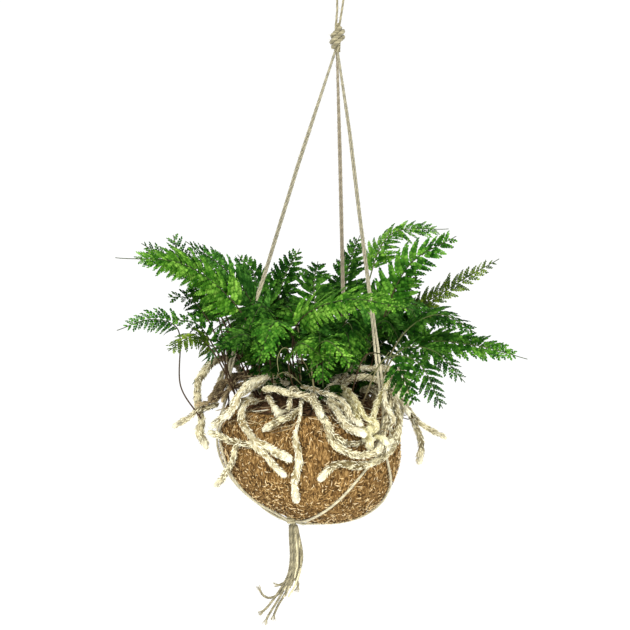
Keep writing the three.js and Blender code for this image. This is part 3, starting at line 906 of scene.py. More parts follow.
stem = {
    "across": 0.009,
    "branchShare": 0.85,
    "sides": 12,
    "step": 0.002,
    "core": 0.7,            # share of the width under the scales
    # the core shows between the scales in nearly the gap colour: painted shade under the scales
    "coreShade": 0.2,
    "scales": 5600,         # on a metre of a stem of full width
    "scaleLength": (0.0016, 0.0038),
    "scaleRadius": (0.00026, 0.00055),
    "scaleOut": (0.0001, 0.002),        # how far a scale's end stands off
    "scaleTaper": (1, 0.2),
    "drift": 0.5,           # how far a scale may turn round the stem
    "lumps": (80, 0.35),    # how many to a metre, and their share of the width
    "wander": (55, 0.0016),             # and how far the stem strays from its plan
    "scaleEnds": (0.001, 0.0004),       # they start short of the tip, and may end past it
    "blunt": 1.4,
    "least": 0.02,          # width at the very ends, squared, as a share
    "swell": 0.06,          # near the tip
    "thin": (0.3, 0.2),     # width of a thin stretch, and length of the taper after it, as shares
    "tipLength": 0.02,
}
rhizomes = {
    "rhizome_old_left": {"look": "aged", "across": 7, "points": [
        (-38, -8, 60), (-60, -14, 62), (-80, -14, 56), (-97, -10, 42)]},
    "rhizome_back_right": {"look": "aged", "points": [
        (18, 12, 50), (38, 30, 52), (60, 38, 52), (80, 32, 52), (94, 14, 42)],
        "branch": [(48, 35, 50), (56, 58, 42), (62, 70, 22), (56, 78, 0)]},
    "rhizome_back": {"look": "grey", "across": 8, "points": [
        (14, 40, 50), (-12, 56, 48), (-40, 64, 46), (-64, 66, 36), (-80, 58, 18), (-88, 50, -2)],
        "branch": [(-30, 62, 46), (-34, 78, 32), (-30, 90, 12), (-38, 92, -8)]},
    "rhizome_back_middle": {"look": "cream", "across": 8, "points": [
        (2, 46, 48), (4, 68, 46), (14, 84, 32), (10, 92, 8), (18, 90, -18)]},
    "rhizome_rim_right": {"look": "grey", "across": 8, "points": [
        (50, -22, 56), (60, -34, 62), (74, -56, 52), (72, -66, 36), (70, -71, 20), (65, -76, 6)]},
    "rhizome_yellow_right": {"look": "yellow", "across": 8, "points": [
        (66, -50, 60), (62, -74, 42), (58, -80, 28), (52, -86, 16)]},
    "rhizome_yellow": {"look": "yellow", "across": 8, "points": [
        (20, -22, 55), (28, -40, 60), (40, -66, 52), (47, -82, 38), (50, -87, 24), (57, -85, 9)]},
    "rhizome_slant": {"look": "pale", "points": [
        (10, -38, 58), (23, -70, 48), (34, -85, 34), (46, -88, 20)]},
    "rhizome_short_front": {"look": "pale", "across": 7, "points": [
        (-42, -60, 58), (-34, -72, 48), (-27, -83, 38)]},
    "rhizome_front": {"look": "cream", "across": 8, "points": [
        (-8, -74, 46), (-20, -85, 39), (-34, -84, 34), (-46, -82, 26)]},
    "rhizome_fork_right": {"look": "pale", "thinUntil": 0.34, "points": [
        (-6, -66, 55), (-11, -88, 34), (-15, -94, 22), (-10, -97, 8), (-10, -97, -6), (-15, -92, -23),
        (-12, -83, -44)]},
    "rhizome_low_left": {"look": "cream", "across": 8, "points": [
        (-50, -83, 12), (-70, -66, 12), (-84, -46, 14), (-101, -28, 17)],
        "branch": [(-70, -66, 12), (-76, -60, -6), (-84, -30, -27), (-96, -14, -42)]},
    "rhizome_fork_left": {"look": "pale", "points": [
        (-52, -40, 50), (-63, -56, 52), (-66, -68, 36), (-57, -77, 22), (-41, -89, 13), (-27, -94, 6),
        (-16, -97, 0)],
        "branch": [(-50, -83, 18), (-43, -88, 4), (-34, -92, -5), (-23, -93, -17)]},
    "rhizome_inner_right": {"look": "cream", "points": [
        (-6, -40, 60), (6, -72, 50), (16, -92, 35), (22, -97, 20), (35, -96, 8), (51, -90, 5),
        (66, -80, 11)]},
    "rhizome_swoop": {"look": "cream", "points": [
        (68, -26, 57), (77, -40, 62), (85, -60, 40), (84, -66, 16), (69, -78, -1), (50, -88, -6),
        (32, -94, -3), (20, -97, -8), (8, -96, -19)]},
    "rhizome_drop_right": {"look": "grey", "across": 8, "points": [
        (60, -16, 48), (76, -16, 54), (92, -14, 44), (102, -14, 28), (108, -14, 12), (112, -14, -4),
        (109, -14, -20)],
        "branch": [(98, -14, 35), (108, -17, 24), (121, -20, 17), (136, -22, 8)]},
    "rhizome_arch_left": {"look": "pale", "points": [
        (-14, -30, 62), (-30, -42, 70), (-46, -50, 71), (-60, -56, 63), (-70, -57, 50), (-82, -48, 37),
        (-96, -35, 22)]},
    "rhizome_loop_left": {"look": "cream", "points": [
        (-42, 40, 42), (-56, 32, 46), (-69, 24, 68), (-82, 15, 84), (-97, 4, 82), (-109, -6, 67),
        (-113, -16, 49), (-107, -24, 28), (-102, -28, -1)]},
    "rhizome_tip_left": {"look": "grey", "across": 7, "points": [
        (-90, -25, 44), (-106, -28, 38), (-122, -26, 30), (-137, -25, 20)]},
}
# Thinner stems between and behind them, which only show as part of the tangle
thinStems = {
    "thin_stem_knob": {"look": "cream", "across": 7.8, "points": [
        (-46, -62, 62), (-35, -68, 66), (-21, -74, 62), (-8, -82, 57), (3, -77, 45), (10, -84, 35)]},
    "thin_stem_middle": {"look": "cream", "across": 5, "points": [
        (37, -20, 74), (23, -34, 66), (16, -56, 59), (23, -76, 50), (33, -73, 38), (41, -76, 26)]},
    "thin_stem_rim": {"look": "grey", "across": 7, "points": [
        (10, 4, 63), (30, 14, 70), (53, 20, 72), (77, 18, 69), (93, 8, 61)]},
    "thin_stem_side": {"look": "pale", "across": 6, "points": [
        (74, -22, 66), (80, -38, 51), (78, -52, 33), (82, -38, 6)]},
    "thin_stem_edge": {"look": "cream", "across": 5.6, "points": [
        (84, -10, 62), (91, -20, 48), (90, -34, 31), (87, -20, 10)]},
    "thin_stem_inner": {"look": "pale", "across": 5.6, "points": [
        (62, -60, 55), (68, -66, 39), (68, -55, 17), (60, -70, 5)]},
    "thin_stem_bright": {"look": "yellow", "across": 6.6, "points": [
        (30, -50, 58), (40, -66, 50), (48, -80, 39), (54, -68, 21), (58, -70, 9)]},
    "thin_stem_over": {"look": "pale", "across": 4.8, "points": [
        (-10, -50, 64), (8, -60, 61), (21, -74, 52), (32, -73, 38), (39, -78, 25)]},
    "thin_stem_low": {"look": "cream", "across": 5.4, "points": [
        (19, -88, 22), (32, -85, 15), (44, -80, 13), (55, -71, 15)]},
    "thin_stem_short": {"look": "pale", "across": 6, "points": [
        (85, -30, 51), (93, -34, 44), (98, -34, 34)]},
    "thin_stem_old": {"look": "aged", "across": 6, "points": [
        (-55, 10, 72), (-71, 4, 67), (-88, -4, 58), (-102, -14, 45)]},
    "thin_stem_older": {"look": "aged", "across": 5.6, "points": [
        (-60, -20, 66), (-77, -26, 60), (-93, -30, 50), (-105, -30, 40)]},
    "thin_stem_dark": {"look": "aged", "across": 5.2, "points": [
        (-67, 24, 79), (-79, 20, 71), (-87, 10, 59), (-95, 2, 49)]},
    "thin_stem_dry": {"look": "aged", "across": 5, "points": [
        (-48, -10, 66), (-65, -20, 63), (-81, -34, 55), (-86, -40, 48)]},
    "thin_stem_fine": {"look": "grey", "across": 5, "points": [
        (-10, -66, 58), (-17, -76, 51), (-23, -78, 43), (-29, -79, 39)]},
    "thin_stem_pile": {"look": "grey", "across": 8, "points": [
        (0, 30, 62), (25, 35, 69), (50, 36, 72), (75, 30, 68), (93, 18, 58)]},
    "thin_stem_pile_low": {"look": "aged", "across": 7.6, "points": [
        (10, 45, 56), (36, 50, 61), (62, 46, 59), (85, 34, 50)]},
    "thin_stem_pile_front": {"look": "aged", "across": 7, "points": [
        (22, 20, 58), (44, 24, 62), (66, 20, 60), (82, 8, 55)]},
    "thin_stem_arc_high": {"look": "pale", "across": 7, "points": [
        (16, -14, 63), (30, -24, 75), (47, -32, 81), (67, -36, 82), (81, -37, 80), (90, -34, 70),
        (91, -30, 57), (87, -34, 47)]},
    "thin_stem_arc_second": {"look": "cream", "across": 6.6, "points": [
        (26, -38, 59), (39, -44, 71), (55, -46, 74), (69, -48, 70), (77, -52, 60), (78, -52, 46)]},
    "thin_stem_arc_third": {"look": "pale", "across": 6, "points": [
        (69, -28, 64), (80, -30, 70), (88, -28, 62), (91, -24, 49), (88, -28, 37)]},
    "thin_stem_gap": {"look": "aged", "across": 8.8, "points": [
        (35, 4, 52), (50, 2, 54), (66, 0, 52), (82, -4, 45)]},
    "thin_stem_back": {"look": "cream", "across": 6.8, "points": [
        (-11, 60, 58), (-26, 70, 49), (-40, 78, 32), (-51, 80, 11), (-55, 78, -10)]},
    "thin_stem_back_low": {"look": "grey", "across": 6, "points": [
        (21, 60, 61), (36, 76, 48), (44, 84, 26), (42, 84, -1)]},
    "thin_stem_hoop": {"look": "aged", "across": 6.4, "points": [
        (-46, 30, 58), (-55, 28, 73), (-66, 22, 80), (-77, 14, 74), (-85, 6, 60), (-90, -2, 48)]},
    "thin_stem_hoop_low": {"look": "aged", "across": 6, "points": [
        (-44, 20, 56), (-56, 18, 67), (-68, 12, 68), (-79, 6, 60)]},
    "thin_stem_hoop_high": {"look": "grey", "across": 6, "points": [
        (-48, 44, 56), (-58, 42, 74), (-70, 34, 84), (-82, 26, 80), (-90, 18, 66), (-93, 10, 52)]},
    "thin_stem_twin": {"look": "pale", "across": 7.4, "points": [
        (-16, -37, 60), (-32, -49, 65), (-47, -57, 65), (-60, -62, 57), (-70, -63, 45), (-81, -54, 33)]},
    "thin_stem_sill": {"look": "grey", "across": 8, "points": [
        (16, -8, 60), (34, -4, 67), (54, -4, 68), (73, -8, 64), (87, -16, 56)]},
    "thin_stem_back_right": {"look": "pale", "across": 6.2, "points": [
        (57, 50, 63), (70, 62, 51), (79, 66, 34), (81, 62, 9)]},
}
# colours of the gaps, dark as painted shade between the scales together with the stem's own brown, of the
# scales and of the growing tip
stemLooks = {
    # pale is the young stems' own colour, and is also given to stems in the fronds' shadow as painted light
    "pale": ((0.22, 0.17, 0.07), (0.9, 0.85, 0.6), (0.95, 0.93, 0.76)),
    "cream": ((0.12, 0.09, 0.035), (0.84, 0.77, 0.49), (0.94, 0.91, 0.7)),
    "yellow": ((0.24, 0.2, 0.07), (0.88, 0.83, 0.5), (0.94, 0.91, 0.66)),
    "grey": ((0.09, 0.07, 0.03), (0.72, 0.65, 0.4), (0.92, 0.87, 0.65)),
    # the darkest look: the older stems' own brown, darkened further as painted shade low in the tangle
    "aged": ((0.03, 0.018, 0.008), (0.3, 0.22, 0.115), (0.5, 0.4, 0.22)),
}


def stemMaterial(name, gapColour, scaleColour, tipColour):
    material, tree, shader = newMaterial("stem " + name, 0.85, 0.12)
    patches = noisePattern(tree, objectPlace(tree), 90, 3, 0.6)
    shade = mathNode(tree, "MULTIPLY", mathNode(tree, "SUBTRACT", patches, 0.5), 0.5)
    value = mathNode(tree, "ADD", attributeValue(tree, "own"), shade)
    scales = colourRamp(tree, value, [(0.14, gapColour), (0.36, scaleColour), (0.8, tipColour)])
    tipShare = colourRamp(tree, attributeValue(tree, "along"), [(0.2, (0, 0, 0)), (0.9, (0.6, 0.6, 0.6))])
    tipped = mixColours(tree, tipShare, scales, tipColour)
    tree.links.new(tipped, shader.inputs["Base Color"])
    return material


# Half the width at each place of a stem: blunt at both ends, lumpy between
def stemWidths(route, radius, taper, shift):
    lengths = distances(route)
    left = lengths[-1] - lengths
    toEnd = np.minimum(left, lengths) / (radius * stem["blunt"])
    rounding = np.sqrt(np.clip(1 - (1 - np.minimum(toEnd, 1)) ** 2, stem["least"], 1))
    lumpScale, lumpHeight = stem["lumps"]
    lumps = np.array([noise.noise(Vector(place) * lumpScale + shift) for place in route])
    swell = 1 + stem["swell"] * np.exp(-((left - 2 * radius) / (2 * radius)) ** 2)
    return radius * stem["core"] * rounding * swell * (1 + lumpHeight * lumps) * taper


# Long thin scales that lean to the stem's tip
def stemScales(name, route, widths, nearTip, count, generator, chance):
    lengths = distances(route)
    side, other = framesAlong(route)[1:]

    def onStem(places, turned, lift):
        out = (np.cos(turned)[:, None] * readAt(places, lengths, side)
               + np.sin(turned)[:, None] * readAt(places, lengths, other))
        reach = np.interp(places, lengths, widths) + lift
        return readAt(places, lengths, route) + out * reach[:, None]

    short, past = stem["scaleEnds"]
    starts = generator.uniform(-short, lengths[-1] - short, count)
    ends = np.minimum(starts + generator.uniform(*stem["scaleLength"], count), lengths[-1] + past)
    angles = generator.uniform(0, 2 * np.pi, count)
    drift = generator.uniform(-stem["drift"], stem["drift"], count)
    off = generator.uniform(*stem["scaleOut"], count)
    pairs = np.stack([onStem(starts, angles, 0), onStem(ends, angles + drift, off)], axis=1)
    thick = generator.uniform(*stem["scaleRadius"], count)
    scaleWidths = [value * np.array(stem["scaleTaper"]) for value in thick]
    scales = tubeMesh(name, list(pairs), scaleWidths, hairSides, chance)
    setValues(scales, "along", np.repeat(np.interp(starts, lengths, nearTip), 2 * hairSides))
    return scales


# A stem's runs are its main stretch and its branch, each with a radius
def scalyStem(name, runs, thinUntil, generator):
    chance = random.Random(name)
    wanderScale, wander = stem["wander"]
    thinShare, thinTaper = stem["thin"]
    meshes = []
    for route, radius in runs:
        route = respaced(route, stem["step"])
        route = route + [strayAt(Vector(place) * wanderScale) * wander for place in route]
        lengths = distances(route)
        taper = np.interp(lengths / lengths[-1], (thinUntil, thinUntil + thinTaper),
                          (thinShare if thinUntil else 1, 1))
        widths = stemWidths(route, radius, taper, Vector((0, 0, chance.random())))
        nearTip = np.clip(1 - (lengths[-1] - lengths) / stem["tipLength"], 0, 1)
        core = tubeMesh(name, [route], [widths], stem["sides"], chance)
        setValues(core, "own", np.full(len(core.vertices), stem["coreShade"]))
        setValues(core, "along", np.repeat(nearTip, stem["sides"]))
        count = round(lengths[-1] * stem["scales"] * 2 * radius / stem["across"] * taper.mean())
        meshes += [core, stemScales(name, route, widths, nearTip, count, generator, chance)]
    return joined(name, meshes)


def makeStems(cordRoutes, looks):
    below = list(cordRoutes)
    generator = np.random.default_rng(11)
    for name, plan in {**rhizomes, **thinStems}.items():
        rhizome = inMetres(plan)
        radius = rhizome.get("across", stem["across"]) / 2
        runs = [(laid(rhizome["points"], radius, below), radius)]
        if "branch" in rhizome:
            thin = radius * stem["branchShare"]
            runs.append((laid(rhizome["branch"], thin, below), thin))
        below += runs
        pieceName = name.replace("rhizome", "furry_stem")
        mesh = scalyStem(pieceName, runs, rhizome.get("thinUntil", 0), generator)
        node = name if name in rhizomes else None
        showAtBall(pieceName, mesh, [looks[rhizome["look"]]], node, smooth=False)
    return below


# Thin roots that straggle over the rim and between the stems
rootlets = {
    "count": 260,
    "radius": (0.0002, 0.0006),
    "length": (0.01, 0.032),
    "step": 0.003,
    "from": (0.045, 0.085),     # the middle, as far out as the ball's edge
    "height": (0.052, 0.032),   # there
    "fall": 0.25,
    "turn": 0.25,
    "wander": 0.4,
}


def makeRootlets(below, looks):
    chance = random.Random("rootlets")
    found = {"aged": [], "cream": []}
    high, low = rootlets["height"]
    for number in range(rootlets["count"]):
        angle = chance.uniform(0, 2 * math.pi)
        out = chance.uniform(*rootlets["from"])
        height = high - (high - low) * (out / rootlets["from"][1]) ** 2
        place = np.array((out * math.cos(angle), out * math.sin(angle), height))
        heading = angle + chance.gauss(0, 1)
        turn = chance.uniform(-1, 1) * rootlets["turn"]
        route = []
        for _ in range(round(chance.uniform(*rootlets["length"]) / rootlets["step"])):
            route.append(place)
            heading += turn + chance.uniform(-rootlets["wander"], rootlets["wander"])
            way = np.array((math.cos(heading), math.sin(heading), -rootlets["fall"]))
            place = place + rootlets["step"] * way
        radius = chance.uniform(*rootlets["radius"])
        route = lifted(np.array(route), radius, below)
        found["cream" if number % 3 == 0 else "aged"].append((route, radius))
    for look, strands in found.items():
        name = f"rootlets_{look}"
        routes, radii = zip(*strands)
        mesh = tubeMesh(name, routes, radii, hairSides, chance)
        setValues(mesh, "along", np.zeros(len(mesh.vertices)))
        showAtBall(name, mesh, [looks[look]], None)


# The fronds: a stalk that rises from its root to the neck, where the blade starts, and arches
# by way of the bow to the tip. A root without a height lies in the potting mix. The face is the
# way the blade's upper side looks.

# Leaflets. "wide" is a share of their own length, "reach" of their side branch's; angles are in degrees.
leafShapes = {
    "comb": {"wide": 0.33, "angle": 48, "gap": 0.0023, "reach": 0.15, "least": 0.0021, "most": 0.0056},
    "lobed": {"wide": 0.4, "angle": 50, "gap": 0.0026, "reach": 0.16, "least": 0.0023, "most": 0.006},
}
# One leaflet, as shares of its length
leaflet = {
    "sides": 6,
    "ridge": (0, 0.55, 0.07),           # the middle of its raised upper side
    "fullness": 1.15,
    "widths": (1.4, 0.9),   # at its foot, and how much narrower its tip is
    "curl": 0.12,
    "curlFrom": 0.4,
    "edge": 0.3,            # how light the foot's edge is, and how much lighter the tip's: the edges are darkened as painted shade
    "smallShare": 0.5,      # width of the leaflets that stand for the shortest side branches
}
# A side branch, as shares of its length
sprig = {
    "lengths": [0.0075, 0.0105, 0.0145, 0.02, 0.027, 0.036, 0.048, 0.062],     # in metres
    "kinds": 2,             # of each length
    "grown": 1.1,           # a made length may be this much too long, and is then shrunk
    "rib": 0.93,
    "ribRadius": (0.00016, 0.006),      # metres, and the share to add
    "ribTaper": 0.4,
    "leafy": 0.86,
    "fewest": 4,            # leaflets
    "from": 0.02,           # where the leaflets start, and the stretch that they take up
    "over": 0.9,
    "taper": 0.7,
    "rise": (0.6, 4),       # the first leaflets are shorter
    "narrowing": 0.5,
    "closing": 12,          # degrees
    "sweepStray": 5,
    "roll": 20,
    "lift": (-8, 12),
}
# A frond. Its plan may change these.
frondShape = {
    "rootDepth": 0.004,
    "samples": 90,
    "bare": 0.33,           # share of the stalk below its blade
    "widthShare": 0.78,     # of the plan's width
    "rise": (0.75, 2.5),    # the first side branches are shorter
    "reachStray": (0.88, 1.08),
    "least": 0.003,         # length of a side branch
    "fewest": 6,            # pairs of side branches
    "spacing": 0.0076,
    "sweep": (66, 40),      # degrees between stalk and side branch, at the neck and the tip
    "sweepStray": 6,
    "taper": 0.85,
    "leafyTo": 0.94,        # beyond this the stalk is bare, too
    "arc": 0.22,            # side branches curve forward
    "droop": 0.3,           # and their ends hang
    "roll": 20,             # degrees that a side branch may turn round itself
    "lift": 16,
    "firm": (0.25, 0.5),    # a blade this square to its face looks that way
    "stalk": (0.0009, 0.0004),
    "lightness": (0.5, 1.1),    # a side branch's painted light and shade, which differ at random from the next
}
fronds = {
    "frond_left_long": {"points": [(-46, -20), (-60, -32, 124), (-118, -62, 184), (-184, -90, 194)],
        "width": 70, "face": (-0.2, -0.7, 0.7), "leaf": "comb", "tone": "bright", "taper": 0.55,
        "bare": 0.4, "leafyTo": 0.82},
    "frond_left_high": {"points": [(-42, 0), (-50, -4, 124), (-78, -18, 172), (-122, -30, 206)],
        "width": 76, "face": (0.2, -0.7, 0.7), "leaf": "lobed", "tone": "blue"},
    "frond_back_left_high": {"points": [(-46, 30), (-48, 48, 122), (-55, 68, 160), (-76, 90, 184)],
        "width": 60, "face": (-0.2, -0.6, 0.8), "leaf": "lobed", "tone": "deep"},
    "frond_back_tip": {"points": [(-26, 34), (-34, 56, 120), (-28, 76, 158), (-11, 96, 190)],
        "width": 62, "face": (0.2, -0.8, 0.5), "leaf": "lobed", "tone": "deep"},
    "frond_left_low": {"points": [
        (-108, -28, 30), (-127, -34, 62), (-130, -43, 122), (-154, -52, 131), (-186, -66, 122)],
        "width": 30, "face": (-0.1, -0.9, 0.3), "leaf": "comb", "tone": "rich", "bare": 0.5,
        "leafyTo": 0.84},
    "frond_left_small": {"points": [(-66, -28), (-96, -64, 104), (-112, -80, 117), (-134, -98, 106)],
        "width": 46, "face": (-0.3, -0.7, 0.6), "leaf": "comb", "tone": "olive"},
    "frond_left_middle": {"points": [(-80, -8), (-91, -2, 126), (-102, 8, 148), (-124, 16, 158)],
        "width": 62, "face": (-0.4, -0.7, 0.6), "leaf": "lobed", "tone": "deep"},
    "frond_front_left": {"points": [(-35, -38), (-42, -78, 104), (-62, -100, 122), (-88, -118, 112)],
        "width": 78, "face": (-0.3, -0.6, 0.7), "leaf": "lobed", "tone": "deep"},
    "frond_front_short": {"points": [(-10, -50), (-20, -84, 96), (-8, -104, 114), (16, -120, 100)],
        "width": 56, "face": (0.2, -0.6, 0.7), "leaf": "lobed", "tone": "bright"},
    "frond_front_crossing": {"points": [(-14, -28), (-12, -66, 128), (34, -100, 155), (97, -128, 148)],
        "width": 74, "face": (0.1, -0.7, 0.7), "leaf": "comb", "tone": "bright"},
    "frond_front_middle": {"points": [(6, -46), (3, -96, 104), (18, -122, 118), (40, -140, 96)],
        "width": 46, "face": (0.3, -0.7, 0.6), "leaf": "lobed", "tone": "bright"},
    "frond_right_top": {"points": [(35, 20), (58, 30, 156), (82, 40, 208), (142, 56, 213)],
        "width": 46, "face": (-0.3, -0.6, 0.7), "leaf": "comb", "tone": "bright", "taper": 0.55,
        "bare": 0.42, "leafyTo": 0.86},
    "frond_back_right_high": {"points": [(26, 28), (34, 52, 130), (40, 74, 174), (52, 92, 204)],
        "width": 64, "face": (-0.1, -0.8, 0.6), "leaf": "lobed", "tone": "deep"},
    "frond_right_high": {"points": [(53, 0), (76, -10, 136), (100, -22, 184), (143, -34, 211)],
        "width": 60, "face": (0.2, -0.8, 0.6), "leaf": "lobed", "tone": "rich", "taper": 0.6,
        "spacing": 9.8},
    "frond_right_edge": {"points": [(64, 14), (99, 18, 124), (144, 14, 158), (189, 4, 186)],
        "width": 44, "face": (-0.5, -0.8, 0.5), "leaf": "comb", "tone": "olive"},
    "frond_right_middle": {"points": [(57, -16), (94, -38, 118), (126, -54, 136), (160, -70, 120)],
        "width": 66, "face": (0.2, -0.5, 0.8), "leaf": "lobed", "tone": "deep"},
    "frond_right_long": {"points": [(72, -8), (110, -22, 102), (162, -38, 104), (212, -50, 92)],
        "width": 62, "face": (0, -0.7, 0.7), "leaf": "lobed", "tone": "rich", "leafyTo": 0.88},
    "frond_right_droop": {"points": [(58, -30), (88, -60, 102), (118, -80, 104), (148, -92, 75)],
        "width": 56, "face": (0.3, -0.7, 0.6), "leaf": "comb", "tone": "deep"},
    "frond_front_right": {"points": [(48, -42), (74, -84, 98), (102, -106, 96), (125, -118, 54)],
        "width": 50, "face": (0.4, -0.8, 0.4), "leaf": "comb", "tone": "deep", "bare": 0.55},
    "frond_front_right_low": {"points": [(36, -46), (56, -102, 104), (80, -122, 98), (97, -132, 60)],
        "width": 46, "face": (0.3, -0.9, 0.4), "leaf": "lobed", "tone": "deep", "bare": 0.62},
    "frond_middle_back": {"points": [(4, 10), (6, 28, 122), (4, 48, 156), (8, 76, 178)],
        "width": 80, "face": (0, -0.6, 0.8), "leaf": "lobed", "tone": "deep"},
    "frond_back": {"points": [(8, 46), (18, 88, 116), (28, 122, 130), (44, 156, 114)],
        "width": 76, "face": (0, 0.5, 0.8), "leaf": "lobed", "tone": "deep"},
    "frond_back_left": {"points": [(-32, 44), (-46, 88, 108), (-64, 122, 116), (-88, 152, 94)],
        "width": 76, "face": (-0.3, 0.4, 0.8), "leaf": "lobed", "tone": "rich"},
    "frond_back_right": {"points": [(46, 36), (80, 66, 110), (114, 94, 122), (150, 122, 104)],
        "width": 72, "face": (0.3, 0.3, 0.9), "leaf": "comb", "tone": "bright"},
}
# Small fronds that fill the sides
sparseFronds = {
    "sparse_frond_left": {"points": [(-70, -10), (-100, -30, 128), (-118, -40, 150), (-138, -50, 153)],
        "width": 36, "face": (-0.3, -0.8, 0.5), "leaf": "lobed", "tone": "deep", "spacing": 11},
    "sparse_frond_left_low": {"points": [(-64, -20), (-94, -45, 104), (-110, -60, 128), (-130, -70, 133)],
        "width": 34, "face": (-0.3, -0.8, 0.5), "leaf": "lobed", "tone": "deep", "spacing": 11},
    "sparse_frond_left_upright": {"points": [
        (-50, 10), (-102, -16, 166), (-126, -26, 188), (-134, -30, 212)],
        "width": 34, "face": (-0.2, -0.9, 0.2), "leaf": "comb", "tone": "rich", "taper": 0.6},
    "sparse_frond_left_outer": {"points": [(-52, 4), (-112, -30, 174), (-140, -42, 190), (-163, -50, 205)],
        "width": 30, "face": (-0.2, -0.8, 0.4), "leaf": "comb", "tone": "deep"},
    "sparse_frond_right": {"points": [(48, 6), (56, 10, 118), (78, 12, 150), (112, 10, 166)],
        "width": 64, "face": (-0.1, -0.8, 0.5), "leaf": "lobed", "tone": "deep"},
    "sparse_frond_right_low": {"points": [(52, 2), (64, 6, 90), (84, 8, 108), (112, 10, 108)],
        "width": 52, "face": (-0.1, -0.8, 0.5), "leaf": "lobed", "tone": "shade"},
}
# More fronds crowd the middle; each leaves the crown in a direction of its own
crowd = {
    "middle": (0.012, 0, 0),
    "turn": 2.4,            # from each frond to the next
    "stray": 0.3,
    "neckAt": 0.55,         # shares of the reach
    "bowAt": 0.82,
    "tipAt": 1.1,
    "legAngle": math.radians(-43),
    "byLeg": 0.88,          # fronds within this cosine of the right leg's angle stay behind it
    "shorterThere": 0.42,
    "high": {"count": 28, "root": (0.01, 0.048), "reach": (0.075, 0.125), "neck": (0.085, 0.12),
             "arch": (0.008, 0.03), "fall": (0.01, 0.05), "width": (0.056, 0.08),
             "tones": ["deep", "deep", "rich", "deep", "blue", "rich"]},
    # the low and inner tiers take the darker tones, painted shade under the fronds above them
    "low": {"count": 13, "root": (0.03, 0.055), "reach": (0.068, 0.094), "neck": (0.07, 0.088),
            "arch": (0.004, 0.014), "fall": (0.008, 0.022), "width": (0.05, 0.066),
            "tones": ["shade", "deep", "deep", "shade", "deep", "rich"]},
    "inner": {"count": 16, "root": (0.005, 0.035), "reach": (0.035, 0.062), "neck": (0.052, 0.07),
              "arch": (0.005, 0.016), "fall": (0.002, 0.014), "width": (0.05, 0.064),
              "tones": ["shade", "shade", "deep", "shade", "deep", "deep"]},
}


def crowdFrond(tier, i):
    chance = random.Random(f"{tier} {i}")
    angle = crowd["turn"] * i + chance.uniform(-crowd["stray"], crowd["stray"])
    middle = np.array(crowd["middle"])
    out = np.array((math.cos(angle), math.sin(angle), 0))
    parts = ("root", "reach", "neck", "arch", "fall", "width")
    root, reach, neck, arch, fall, width = (chance.uniform(*crowd[tier][part]) for part in parts)
    if math.cos(angle - crowd["legAngle"]) > crowd["byLeg"]:
        reach *= crowd["shorterThere"]
    return {
        "points": [
            (middle + out * root)[:2],
            middle + out * reach * crowd["neckAt"] + (0, 0, neck),
            middle + out * reach * crowd["bowAt"] + (0, 0, neck + arch),
            middle + out * reach * crowd["tipAt"] + (0, 0, neck + arch - fall),
        ],
        "width": width,
        "face": (out[0] * 0.6, out[1] * 0.6 - 0.3, 0.7),        # up, outward and a little to the front
        "leaf": chance.choice(list(leafShapes)),
        "tone": chance.choice(crowd[tier]["tones"]),
    }


# dark, middle and light colour of the leaflets. The tones are mostly lit and shaded copies of one green, as
# painted light and shade: bright for fronds in the light, rich between, deep and shade for fronds low and
# inside the crowd; blue and olive also differ in hue
leafTones = {
    "bright": ((0.007, 0.045, 0.002), (0.065, 0.2, 0.012), (0.24, 0.47, 0.06)),
    "rich": ((0.003, 0.024, 0.001), (0.034, 0.14, 0.009), (0.16, 0.38, 0.04)),
    "deep": ((0.0012, 0.012, 0.0005), (0.011, 0.06, 0.0025), (0.078, 0.21, 0.022)),
    "shade": ((0.0008, 0.009, 0.0004), (0.007, 0.04, 0.002), (0.05, 0.15, 0.016)),
    "blue": ((0.004, 0.028, 0.002), (0.03, 0.12, 0.012), (0.11, 0.29, 0.04)),
    "olive": ((0.01, 0.026, 0.002), (0.065, 0.12, 0.009), (0.2, 0.29, 0.028)),
}


def leafMaterial(name, dark, middle, light):
    material, tree, shader = newMaterial("leaf " + name, 0.6, 0.03)
    island = tree.nodes.new("ShaderNodeNewGeometry").outputs["Random Per Island"]
    # patches of lighter and darker leaflets stand for sunlit and shaded ones: painted light and shade; each
    # leaflet also differs at random in its own tone
    patches = noisePattern(tree, objectPlace(tree), 55, 2)
    byLeaflet = mathNode(tree, "MULTIPLY", island, 0.45)
    value = mathNode(tree, "ADD", byLeaflet, mathNode(tree, "MULTIPLY", patches, 0.75))
    colour = colourRamp(tree, value, [(0.3, dark), (0.55, middle), (0.85, light)])
    # the edge and foot of each leaflet are mixed towards the dark colour: painted shade
    edged = mixColours(tree, attributeValue(tree, "inner"), dark, colour)
    tree.links.new(edged, shader.inputs["Base Color"])
    return material


def stalkMaterial():
    material, tree, shader = newMaterial("stalk", 0.6, 0.12)
    along = attributeValue(tree, "along")
    pale = colourRamp(tree, along, [(0.0, (0.12, 0.06, 0.025)), (0.12, (0.3, 0.26, 0.13)),
                                    (0.36, (0.09, 0.12, 0.035)), (1.0, (0.03, 0.06, 0.012))])
    dark = colourRamp(tree, along, [(0.0, (0.05, 0.022, 0.01)), (0.35, (0.045, 0.032, 0.014)),
                                    (0.6, (0.02, 0.045, 0.01)), (1.0, (0.03, 0.05, 0.01))])
    own = colourRamp(tree, attributeValue(tree, "own"), [(0.45, (0, 0, 0)), (0.55, (1, 1, 1))])
    colour = mixColours(tree, own, dark, pale)
    specks = noisePattern(tree, objectPlace(tree), 400, 2)
    colour = mixColours(tree, mathNode(tree, "MULTIPLY", specks, 0.3), colour, (0.04, 0.025, 0.012))
    tree.links.new(colour, shader.inputs["Base Color"])
    return material


